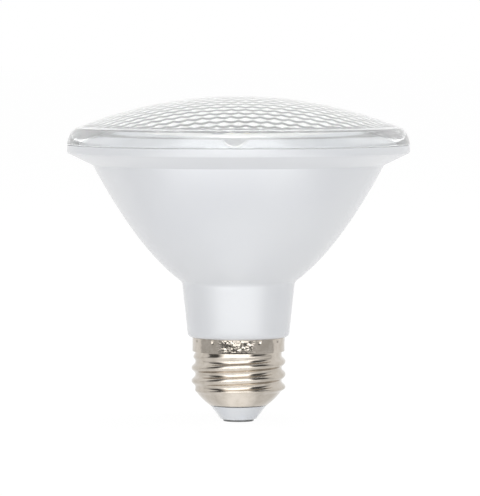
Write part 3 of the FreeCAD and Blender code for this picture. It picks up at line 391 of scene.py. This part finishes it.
finishes = {slot: surface(slot, look) for slot, look in looks.items()}
finishes["clear_polycarbonate"] = clearPolycarbonate("clearLensPolycarbonate", clearLook["domeClear"])
finishes["hazy_polycarbonate"] = clearPolycarbonate("hazySkirtPolycarbonate", clearLook["skirtClear"])
print("finishes ready:", len(finishes))

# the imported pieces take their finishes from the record's slots
for subpart in frame["record"]["subparts"]:
    node = frame["nodes"][subpart["node"]]
    node.data.materials.clear()
    node.data.materials.append(finishes[subpart["material_slot"]])


# housing: the smooth white moulding, from its threaded stem to the lip inside the lens

housing = {
    "steps": 256,
    "stemBore": 10.2, "threadSeat": 11.6, "collarSeat": 12.5, "collarLength": 3.55,
    "neckBaseRadius": 14.05, "neckTopRadius": 15.7, "neckLength": 15.34, "neckRows": 8,
    "neckBaseRound": 1.2, "neckTopRound": 1.5, "neckWall": 1.6, "shoulderRise": 0.5,
    "bowlRadius": 40.4, "bowlLength": 32.53, "bowlSteps": 48, "bowlWallLift": 3.0,
    "coneHeight": 3.48, "bandHeight": 2.16, "rimRound": 0.8, "seamRound": 0.25,
    "grooveOuter": 46.4, "grooveInner": 45.4, "grooveDepth": 0.7,
    "lipRadius": 44.3, "lipBore": 42.9, "lipHeight": 2.0, "ledgeDepth": 2.4,
    "notchCentre": -1.0, "notchTopWidth": 7.2, "notchBaseWidth": 3.8, "notchDepth": 1.7,
}

stemLow, lipTop = heightsOf("housing")
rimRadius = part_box("housing")[1].x / mm
seam = lipTop - housing["lipHeight"]
bowlTop = seam - housing["bandHeight"] - housing["coneHeight"]
neckTop = bowlTop - housing["bowlLength"]
neckBase = neckTop - housing["neckLength"]
fourFocal = (housing["bowlRadius"] ** 2 - housing["neckTopRadius"] ** 2) / housing["bowlLength"]


def bowlHeight(radius):
    # the reflector bowl's parabola, which starts at the top of the neck
    return neckTop + (radius ** 2 - housing["neckTopRadius"] ** 2) / fourFocal


def makeHousing():
    ledge = seam - housing["ledgeDepth"]
    shoulder = neckBase + housing["shoulderRise"]
    lift = housing["bowlWallLift"]
    innerNeck = housing["neckTopRadius"] - housing["neckWall"]
    ledgeRadius = math.sqrt(fourFocal * (ledge - lift - bowlHeight(0)))
    slant = housing["neckLength"] / (housing["neckTopRadius"] - housing["neckBaseRadius"])
    neck = curvePoints(housing["neckBaseRadius"], housing["neckTopRadius"], housing["neckRows"],
                       lambda radius: neckBase + slant * (radius - housing["neckBaseRadius"]))
    outside = curvePoints(housing["neckTopRadius"], housing["bowlRadius"], housing["bowlSteps"], bowlHeight)
    inside = curvePoints(ledgeRadius, innerNeck, housing["bowlSteps"],
                         lambda radius: bowlHeight(radius) + lift)
    grooveLow = seam - housing["grooveDepth"]
    seatTop = neckBase - housing["collarLength"]
    outline = [
        (housing["stemBore"], stemLow), (housing["threadSeat"], stemLow),
        (housing["threadSeat"], seatTop), (housing["collarSeat"], seatTop),
        (housing["collarSeat"], neckBase),
    ] + neck[:-1] + outside + [
        (rimRadius, bowlTop + housing["coneHeight"]), (rimRadius, seam),
        (housing["grooveOuter"], seam), (housing["grooveOuter"], grooveLow),
        (housing["grooveInner"], grooveLow), (housing["grooveInner"], seam),
        (housing["lipRadius"], seam), (housing["lipRadius"], lipTop),
        (housing["lipBore"], lipTop), (housing["lipBore"], ledge),
    ] + inside + [
        (housing["neckBaseRadius"] - housing["neckWall"], shoulder), (housing["stemBore"], shoulder),
    ]
    bm = turned(outline, housing["steps"])

    # the notch in the lip: its top edge sinks between two slanted sides
    halfTop = housing["notchTopWidth"] / 2
    halfBase = housing["notchBaseWidth"] / 2
    for vert in bm.verts:
        if vert.co.z / mm > lipTop - ringReach and vert.co.y < 0:
            across = abs(vert.co.x / mm - housing["notchCentre"])
            share = clamped((halfTop - across) / (halfTop - halfBase))
            vert.co.z -= housing["notchDepth"] * share * mm

    roundRing(bm, housing["neckBaseRadius"], neckBase, housing["neckBaseRound"])
    roundRing(bm, housing["neckTopRadius"], neckTop, housing["neckTopRound"])
    roundRing(bm, rimRadius, bowlTop + housing["coneHeight"], housing["rimRound"])
    roundRing(bm, rimRadius, seam, housing["seamRound"])
    finished("housing_moulding", bm, "white_housing_plastic", ["housing"])


makeHousing()


# lens: a clear dome with a rounded skirt, and pillows moulded in rows under it

lens = {
    "steps": 256,
    "domeRadius": 120.5, "domeSteps": 40, "wall": 1.2,
    "cornerRadius": 45.4, "cornerRound": 1.2, "skirtCurve": 6.0, "skirtSteps": 8, "seamRound": 0.2,
    "roundSteps": 6, "sharpDegrees": 15,
    # the pillows fade out at the zone's edge, where a narrow strip joins them to the plain ring
    "bore": 44.6, "zoneRadius": 43.4, "zoneStrip": 0.2, "zoneFade": 1.6, "ringSteps": 4,
    "pillowPitch": 3.85, "pillowHeight": 0.6, "pillowCuts": 2, "pillowWeld": 0.02,
}

lensLow, lensTop = heightsOf("lens_cover")
domeCentre = lensTop - lens["domeRadius"]


def underside(radius):
    return domeCentre + math.sqrt((lens["domeRadius"] - lens["wall"]) ** 2 - radius ** 2)


def domeOutside(radius):
    return domeCentre + math.sqrt(lens["domeRadius"] ** 2 - radius ** 2)


def pillowCentres():
    # the middles of the hexagons that reach into the pillowed zone
    pitch = lens["pillowPitch"]
    reach = lens["zoneRadius"] + pitch
    rows = int(reach / pitch) + 2
    centres = []
    for row in range(-rows, rows + 1):
        for column in range(-rows, rows + 1):
            spot = (pitch * (column + row % 2 / 2), pitch * math.sqrt(3) / 2 * row)
            if math.hypot(*spot) < reach:
                centres.append(spot)
    return centres


def pillowPatch():
    # one hexagon, divided and then copied to each place; a pillow is highest at its middle
    pitch = lens["pillowPitch"]
    corner = pitch / math.sqrt(3)
    edge = lens["zoneRadius"] - lens["zoneStrip"]
    cell = bmesh.new()
    bmesh.ops.create_circle(cell, cap_ends=True, segments=6, radius=corner * mm)
    bmesh.ops.poke(cell, faces=cell.faces)
    bmesh.ops.subdivide_edges(cell, edges=cell.edges, cuts=lens["pillowCuts"], use_grid_fill=True)
    cellMesh = meshOf("pillow", cell)

    patch = bmesh.new()
    for x, y in pillowCentres():
        before = len(patch.verts)
        patch.from_mesh(cellMesh)
        patch.verts.ensure_lookup_table()
        for vert in patch.verts[before:]:
            share = vert.co.length / (corner * mm)
            sink = lens["pillowHeight"] * (1 - share ** 2)
            vert.co += Vector((x * mm, y * mm, 0))
            sink *= clamped((edge - vert.co.xy.length / mm) / lens["zoneFade"])
            vert.co.z = (underside(vert.co.xy.length / mm) - sink) * mm
    bpy.data.meshes.remove(cellMesh)
    bmesh.ops.remove_doubles(patch, verts=patch.verts, dist=lens["pillowWeld"] * mm)

    # cut back to a circle: what lies outside goes, and the rim's points move in to it
    beyond = {vert for vert in patch.verts if vert.co.xy.length / mm > edge}
    outside = [face for face in patch.faces if beyond.issuperset(face.verts)]
    bmesh.ops.delete(patch, geom=outside, context="FACES")
    for vert in patch.verts:
        if vert.co.xy.length / mm > edge:
            share = edge * mm / vert.co.xy.length
            vert.co = (vert.co.x * share, vert.co.y * share, underside(edge) * mm)
    return patch


def makeLens():
    corner = (lens["cornerRadius"], domeOutside(lens["cornerRadius"]))
    top = curvePoints(0.0, lens["cornerRadius"], lens["domeSteps"], domeOutside)
    skirt = bulgedArc(corner, (rimRadius, lensLow), lens["skirtCurve"], lens["skirtSteps"])
    ring = curvePoints(lens["bore"], lens["zoneRadius"], lens["ringSteps"], underside)
    bm = turned(top + skirt[1:] + [(lens["bore"], lensLow)] + ring, lens["steps"], closed=False)
    roundRing(bm, *corner, lens["cornerRound"], lens["roundSteps"])
    roundRing(bm, rimRadius, lensLow, lens["seamRound"], lens["roundSteps"])

    # the pillowed patch joins the plain ring across a narrow strip
    patchMesh = meshOf("patch", pillowPatch())
    bm.from_mesh(patchMesh)
    bpy.data.meshes.remove(patchMesh)
    openEdges = [edge for edge in bm.edges if edge.is_boundary]
    bmesh.ops.triangle_fill(bm, edges=openEdges, use_beauty=True, normal=(0, 0, -1))
    bmesh.ops.recalc_face_normals(bm, faces=bm.faces)
    print("lens open edges left:", sum(edge.is_boundary for edge in bm.edges))
    moulding = finished("lens_moulding", bm, "clear_polycarbonate", ["lens_cover"],
                        sharpDegrees=lens["sharpDegrees"])

    # the skirt is a little hazier than the dome
    moulding.data.materials.append(finishes["hazy_polycarbonate"])
    for face in moulding.data.polygons:
        if face.center.xy.length > lens["cornerRadius"] * mm:
            face.material_index = 1


makeLens()


# gate lug: a tab against the lens's bore, hanging into the notch of the housing's lip; its grey is painted
# shade for the notch

gateLug = {
    "halfWidth": 3.05, "depth": 1.45, "roundness": 0.8, "leastDepth": 0.02, "rise": 0.1,
    "thickness": 0.9, "boreGap": 0.05, "steps": 24, "sharpDegrees": 40,
}


def makeGateLug():
    outer = lens["bore"] - gateLug["boreGap"]
    inner = outer - gateLug["thickness"]
    top = (lipTop + gateLug["rise"]) * mm
    bm = bmesh.new()
    row = []
    for step in range(gateLug["steps"] + 1):
        x = housing["notchCentre"] + (2 * step / gateLug["steps"] - 1) * gateLug["halfWidth"]
        row.append(bm.verts.new((x * mm, -math.sqrt(outer ** 2 - x ** 2) * mm, top)))
    edges = [bm.edges.new(ends) for ends in zip(row, row[1:])]

    # the row's copy hangs down, and the sheet between them is then thickened inwards
    bmesh.ops.extrude_edge_only(bm, edges=edges)
    for vert in bm.verts:
        if vert not in row:
            across = (vert.co.x / mm - housing["notchCentre"]) / gateLug["halfWidth"]
            hang = gateLug["depth"] * max(math.cos(across * math.pi / 2), 0.0) ** gateLug["roundness"]
            vert.co.z = (lipTop - max(hang, gateLug["leastDepth"])) * mm
    front = set(bm.verts)
    bmesh.ops.extrude_face_region(bm, geom=bm.faces[:])
    for vert in bm.verts:
        if vert not in front:
            vert.co.y = -math.sqrt((inner * mm) ** 2 - vert.co.x ** 2)
    bmesh.ops.recalc_face_normals(bm, faces=bm.faces)
    # the lug wears a pale grey that is painted shade for the notch behind it
    finished("gate_lug", bm, "clear_polycarbonate", [], sharpDegrees=gateLug["sharpDegrees"],
             finish="lug_painted_shade_grey")


makeGateLug()


# shade line: a thin grey ring on the lip's top that shows through the skirt, painted shade for the gap
# between lens and lip

shadeLine = {"steps": 256, "height": 0.28, "thickness": 0.4, "boreGap": 0.05}


def makeShadeLine():
    outer = lens["bore"] - shadeLine["boreGap"]
    inner = outer - shadeLine["thickness"]
    high = lipTop + shadeLine["height"]
    bm = turned([(inner, lipTop), (outer, lipTop), (outer, high), (inner, high)], shadeLine["steps"])
    # the ring's grey stands in for the shade in the gap between lens and lip
    finished("painted_shade_line", bm, "silicone_bead", [], finish="shade_line_grey")


makeShadeLine()


# screw shell: thin sheet with a drawn bowl, a rolled right-hand thread and a dimpled collar

shell = {
    "steps": 384, "rowHeight": 0.19, "wall": 0.3,
    "lipRadius": 7.9, "bowlRadius": 11.5, "bowlHeight": 3.4, "bowlCurve": 16.0, "bowlSteps": 8,
    "crestRadius": 13.1, "rootRadius": 12.05, "pitch": 3.629, "crestHeight": 5.25,
    "fade": 1.6, "fadeTop": 2.8,
    "collarRadius": 12.85, "collarLength": 3.9,
    "dimpleCount": 12, "dimpleRadius": 0.6, "dimpleDepth": 0.3, "dimpleDrop": 0.8, "dimpleTurn": 3.3,
    "sharpDegrees": 50,
}


def threadRadius(angle, height, low, high):
    # the rolled sheet's radius at one place: a right-hand wave on the root, fading out at both ends
    phase = (height - low - shell["crestHeight"]) / shell["pitch"] - angle / (2 * math.pi)
    wave = 0.5 + 0.5 * math.cos(2 * math.pi * phase)
    # crests and roots a little fuller than a plain cosine's
    wave = (wave + eased(wave)) / 2
    fade = 1.0
    for distance, reach in ((height - low, shell["fade"]), (high - height, shell["fadeTop"])):
        fade *= eased(clamped(distance / reach))
    # the first rows widen from the bowl to the thread's root
    rise = min((height - low) / shell["fade"], 1.0)
    root = shell["bowlRadius"] + (shell["rootRadius"] - shell["bowlRadius"]) * rise * (2 - rise)
    return root + (shell["crestRadius"] - shell["rootRadius"]) * wave * fade


def makeShell():
    low, high = heightsOf("screw_shell")
    threadLow = low + shell["bowlHeight"]
    threadHigh = high - shell["collarLength"]
    bowl = bulgedArc((shell["bowlRadius"], threadLow), (shell["lipRadius"], low),
                     shell["bowlCurve"], shell["bowlSteps"])[::-1]
    threadRows = round((threadHigh - threadLow) / shell["rowHeight"])
    thread = [(shell["rootRadius"], threadLow + (threadHigh - threadLow) * row / threadRows)
              for row in range(threadRows + 1)]
    collarRows = round(shell["collarLength"] / shell["rowHeight"])
    collar = [(shell["collarRadius"], threadHigh + shell["collarLength"] * row / collarRows)
              for row in range(collarRows + 1)]
    bm = turned(bowl + thread + collar, shell["steps"], closed=False)

    # each dimple is pressed by a ball whose middle stands outside the collar
    dimples = []
    reach = shell["collarRadius"] + shell["dimpleRadius"] - shell["dimpleDepth"]
    for index in range(shell["dimpleCount"]):
        angle = math.radians(-90 - shell["dimpleTurn"] + 360 * index / shell["dimpleCount"])
        dimples.append(Vector((reach * math.cos(angle), reach * math.sin(angle), high - shell["dimpleDrop"])))
    for vert in bm.verts:
        spot = vert.co / mm
        angle = math.atan2(spot.y, spot.x)
        radius = spot.xy.length
        onThread = threadLow - ringReach < spot.z < threadHigh + ringReach
        if onThread and radius < shell["rootRadius"] + ringReach:
            radius = threadRadius(angle, spot.z, threadLow, threadHigh)
        for ball in dimples:
            # a place inside a ball moves inwards to the ball's face
            away = spot - ball
            if away.length < shell["dimpleRadius"]:
                across = away.xy.cross(ball.xy.normalized())
                side = math.sqrt(shell["dimpleRadius"] ** 2 - away.z ** 2 - across ** 2)
                radius = min(radius, reach - side)
        vert.co.x = radius * math.cos(angle) * mm
        vert.co.y = radius * math.sin(angle) * mm
    bmesh.ops.recalc_face_normals(bm, faces=bm.faces)
    piece = finished("screw_shell_sheet", bm, "nickel_plated_sheet", ["screw_shell"],
                     sharpDegrees=shell["sharpDegrees"])
    sheet = piece.modifiers.new("sheet", "SOLIDIFY")
    sheet.thickness = shell["wall"] * mm
    sheet.offset = -1.0


makeShell()


# nose and contact: a glazed insulator with the centre contact let into it

nose = {
    "steps": 128, "noseRadius": 5.0, "noseRound": 0.6, "noseLift": 0.3, "lipGap": 0.05,
    "contactRadius": 4.25, "contactRound": 0.12, "contactThickness": 0.8, "seatGap": 0.05,
    "plugRadius": 7.3, "plugTopRadius": 11.1, "plugStep": 0.15, "shankRadius": 1.0,
}


def makeNose():
    low, high = heightsOf("base_insulator")
    low += nose["noseLift"]
    shellLow = heightsOf("screw_shell")[0]
    shoulder = shellLow - nose["lipGap"]
    hole = nose["shankRadius"] + nose["seatGap"]
    pocket = nose["contactRadius"] + nose["seatGap"]
    outline = [
        (hole, nose["contactThickness"]), (pocket, nose["contactThickness"]), (pocket, low),
        (nose["noseRadius"], low), (shell["lipRadius"] - nose["lipGap"], shoulder),
        (nose["plugRadius"], shoulder), (nose["plugRadius"], shellLow + nose["plugStep"]),
        (nose["plugTopRadius"], high), (hole, high),
    ]
    bm = turned(outline, nose["steps"])
    roundRing(bm, nose["noseRadius"], low, nose["noseRound"])
    finished("nose_insulator", bm, "insulator_ceramic_white", ["base_insulator"])

    shankTop = heightsOf("centre_contact")[1]
    button = [
        (0.0, 0.0), (nose["contactRadius"], 0.0), (nose["contactRadius"], nose["contactThickness"]),
        (nose["shankRadius"], nose["contactThickness"]), (nose["shankRadius"], shankTop), (0.0, shankTop),
    ]
    bm = turned(button, nose["steps"], closed=False)
    roundRing(bm, nose["contactRadius"], 0.0, nose["contactRound"])
    finished("contact_button", bm, "contact_nickel", ["centre_contact"])


makeNose()


# reflector: a smooth white bowl from the LED board up to the housing's ledge

reflector = {"steps": 192, "footRadius": 16.31, "footHeight": 0.6, "mouthRadius": 39.226, "wall": 1.1,
             "flange": 1.2, "flangeRadius": 42.75, "curveSteps": 32}


def makeReflector():
    low, high = heightsOf("reflector")
    footTop = low + reflector["footHeight"]
    ledge = high - reflector["flange"]
    wall = reflector["wall"]

    def side(footRadius, mouthRadius, mouthHeight):
        slope = (mouthHeight - footTop) / (mouthRadius ** 2 - footRadius ** 2)
        return curvePoints(footRadius, mouthRadius, reflector["curveSteps"],
                           lambda radius: footTop + slope * (radius ** 2 - footRadius ** 2))

    inner = side(reflector["footRadius"], reflector["mouthRadius"], high)
    outer = side(reflector["footRadius"] + wall, reflector["mouthRadius"] + wall, ledge)
    outline = [(reflector["footRadius"], low), (reflector["footRadius"] + wall, low)] + outer
    outline += [(reflector["flangeRadius"], ledge), (reflector["flangeRadius"], high)] + inner[::-1]
    bm = turned(outline, reflector["steps"])
    finished("reflector_bowl", bm, "white_reflector_plastic", ["reflector"])


makeReflector()


# floor, surround, lamps and camera

# what mirrors and the lens see: degrees round from the camera's side, to the right, and the light there
evenWhite = [(-180, 1.0), (180, 1.0)]
nearFloor = [(-180, 1.0), (-60, 0.95), (-20, 1.35), (15, 1.35), (50, 0.9), (180, 1.0)]
shadeFloor = [(-180, 1.0), (-60, 0.95), (-20, 0.7), (15, 0.7), (50, 0.9), (180, 1.0)]
neckApron = [(-180, 1.0), (-110, 1.0), (-102, 0.62), (-64, 0.6), (-34, 4.8), (30, 4.8), (58, 0.6),
             (92, 0.62), (100, 1.0), (180, 1.0)]
darkApron = [(-180, 1.0), (-110, 1.0), (-102, 0.62), (-54, 0.6), (-40, 0.04), (28, 0.04), (42, 0.6),
             (92, 0.62), (100, 1.0), (180, 1.0)]
farApron = [(-180, 1.0), (-110, 1.0), (-102, 0.52), (-54, 0.5), (-36, 4.2), (26, 4.2), (44, 0.5),
            (92, 0.52), (100, 1.0), (180, 1.0)]
skyline = [(-180, 1.0), (-110, 1.0), (-102, 0.9), (-60, 0.85), (-36, 1.7), (26, 1.7), (50, 0.8),
           (92, 0.9), (100, 1.0), (180, 1.0)]
windowWalls = [(-180, 1.0), (-102, 1.0), (-90, 0.8), (-84, 0.12), (-58, 0.1), (-48, 1.0), (-36, 2.6),
               (26, 2.6), (38, 0.3), (44, 0.1), (76, 0.1), (88, 0.8), (98, 1.0), (180, 1.0)]

studio = {
    # each band's start, where it has fully taken over, and its tones: floor bands go out from under the
    # lamp in metres, wall bands go up from the horizon in sines
    "floorBands": [(0.0, 0.0, nearFloor), (0.045, 0.06, shadeFloor), (0.09, 0.098, neckApron),
                   (0.125, 0.185, darkApron), (0.42, 0.46, farApron), (0.7, 1.0, skyline)],
    "wallBands": [(0.0, 0.0, skyline), (0.08, 0.16, windowWalls), (0.85, 0.98, evenWhite)],
    # the brightest tone a band can hold, and the least and most that the lens sees
    "mirrorStrength": 5.0, "lensLow": 1.8, "lensHigh": 2.5,
    # the floor lies a little under the contact, and to the camera most of it glows, so shadows are faint
    "floorSize": 60000.0, "floorGap": 0.03, "floorColour": "#f2f2f2", "floorShare": 0.9, "floorGlow": 1.05,
    # both studio lamps aim at the middle of the part; each has its place and its power in watts
    "ambient": 0.56, "lampWidth": 900, "lampTarget": (0, 0, 50),
    "lamps": {"frontLamp": ((-150, -1500, 300), 7.0), "topLamp": ((200, 100, 1300), 6.0)},
    # the camera's place, tilt and lens, matched to the photograph
    "cameraSide": 0.42, "cameraDistance": 1000.0, "cameraHeight": 101.0,
    "cameraDropDegrees": 3.02, "focalPixels": 3597.0, "frameHeightPixels": 496.0, "sensor": 36.0,
}


def wallTones(tree, east, north, tones):
    # brightness of the surround by direction: 0 degrees is the camera's side, and right is positive
    south = addNode(tree, "Math", {0: north, 1: -1.0}, operation="MULTIPLY")
    turn = addNode(tree, "Math", {0: east, 1: south.outputs[0]}, operation="ARCTAN2")
    share = addNode(tree, "MapRange", {"Value": turn.outputs[0], "From Min": -math.pi, "From Max": math.pi})
    walls = addNode(tree, "ValToRGB", {"Fac": share.outputs["Result"]})
    elements = walls.color_ramp.elements
    # new stops start halfway, and each is then put in its place
    while len(elements) < len(tones):
        elements.new(0.5)
    for element, (degrees, tone) in zip(elements, tones):
        level = tone / studio["mirrorStrength"]
        element.position = (degrees + 180) / 360
        element.color = (level, level, level, 1.0)
    return walls.outputs["Color"]


def bandedTones(tree, east, north, measure, bands):
    # each band takes over from the one before between two values of the measure
    tone = None
    for start, end, tones in bands:
        above = wallTones(tree, east, north, tones)
        if tone is None:
            tone = above
            continue
        share = addNode(tree, "MapRange", {"Value": measure, "From Min": start, "From Max": end})
        tone = addNode(tree, "Mix", {"Factor": share.outputs["Result"], "A": tone, "B": above},
                       data_type="RGBA").outputs["Result"]
    # the lens sees neither the dark gaps nor the full brightness of the windows
    through = addNode(tree, "LightPath").outputs["Is Transmission Ray"]
    for limit, blend in ((studio["lensLow"], "LIGHTEN"), (studio["lensHigh"], "DARKEN")):
        level = limit / studio["mirrorStrength"]
        tone = addNode(tree, "Mix", {"Factor": through, "A": tone, "B": (level, level, level, 1)},
                       data_type="RGBA", blend_type=blend).outputs["Result"]
    return tone


def shownTo(tree, camera, mirror, rest):
    # one shader for the camera, one for what metal and the lens send on, one for all other light
    path = addNode(tree, "LightPath")
    sentOn = addNode(tree, "Math", {0: path.outputs["Is Glossy Ray"], 1: path.outputs["Is Transmission Ray"]},
                     operation="MAXIMUM")
    mirrored = addNode(tree, "MixShader", {0: sentOn.outputs[0], 1: rest.outputs[0], 2: mirror.outputs[0]})
    return addNode(tree, "MixShader", {0: path.outputs["Is Camera Ray"], 1: mirrored.outputs[0],
                                       2: camera.outputs[0]}).outputs[0]


def makeFloor():
    bm = bmesh.new()
    bmesh.ops.create_grid(bm, x_segments=1, y_segments=1, size=studio["floorSize"] / 2 * mm)
    for vert in bm.verts:
        vert.co.z = -studio["floorGap"] * mm
    floor = addObject("floor", meshOf("floor", bm))
    material = bpy.data.materials.new("paleFloor")
    tree = emptyTree(material)
    matte = addNode(tree, "BsdfDiffuse", {"Color": hexColour(studio["floorColour"])})
    glow = addNode(tree, "Emission", {"Color": (1, 1, 1, 1), "Strength": studio["floorGlow"]})
    shadowed = addNode(tree, "MixShader", {0: studio["floorShare"], 1: matte.outputs[0], 2: glow.outputs[0]})
    place = addNode(tree, "TexCoord").outputs["Object"]
    spot = addNode(tree, "SeparateXYZ", {0: place})
    away = addNode(tree, "VectorMath", {0: place}, operation="LENGTH").outputs["Value"]
    tone = bandedTones(tree, spot.outputs["X"], spot.outputs["Y"], away, studio["floorBands"])
    mirrored = addNode(tree, "Emission", {"Color": tone, "Strength": studio["mirrorStrength"]})
    addNode(tree, "OutputMaterial", {"Surface": shownTo(tree, shadowed, mirrored, matte)})
    floor.data.materials.append(material)


def makeSurround():
    world = bpy.data.worlds.new("studioSurround")
    scene.world = world
    tree = emptyTree(world)
    way = addNode(tree, "SeparateXYZ", {0: addNode(tree, "TexCoord").outputs["Generated"]})
    tone = bandedTones(tree, way.outputs["X"], way.outputs["Y"], way.outputs["Z"], studio["wallBands"])
    plain = addNode(tree, "Background", {"Color": (1, 1, 1, 1), "Strength": studio["ambient"]})
    mirrored = addNode(tree, "Background", {"Color": tone, "Strength": studio["mirrorStrength"]})
    backdrop = addNode(tree, "Background", {"Color": (1, 1, 1, 1), "Strength": 1.0})
    addNode(tree, "OutputWorld", {"Surface": shownTo(tree, backdrop, mirrored, plain)})


def makeLamps():
    for name, (spot, power) in studio["lamps"].items():
        light = bpy.data.lights.new(name, "AREA")
        light.shape = "DISK"
        light.size = studio["lampWidth"] * mm
        light.energy = power
        lamp = addObject(name, light)
        lamp.location = Vector(spot) * mm
        aim = Vector(studio["lampTarget"]) - Vector(spot)
        lamp.rotation_euler = aim.to_track_quat("-Z", "Y").to_euler()
        lamp.visible_glossy = False


def makeCamera():
    camera = bpy.data.cameras.new("camera")
    camera.sensor_width = studio["sensor"]
    camera.lens = studio["focalPixels"] / studio["frameHeightPixels"] * studio["sensor"]
    viewer = addObject("camera", camera)
    viewer.location = Vector((studio["cameraSide"], -studio["cameraDistance"], studio["cameraHeight"])) * mm
    viewer.rotation_euler = (math.radians(90 - studio["cameraDropDegrees"]), 0, 0)
    scene.camera = viewer


makeFloor()
makeSurround()
makeLamps()
makeCamera()
scene.view_settings.view_transform = "Standard"
print("studio ready")
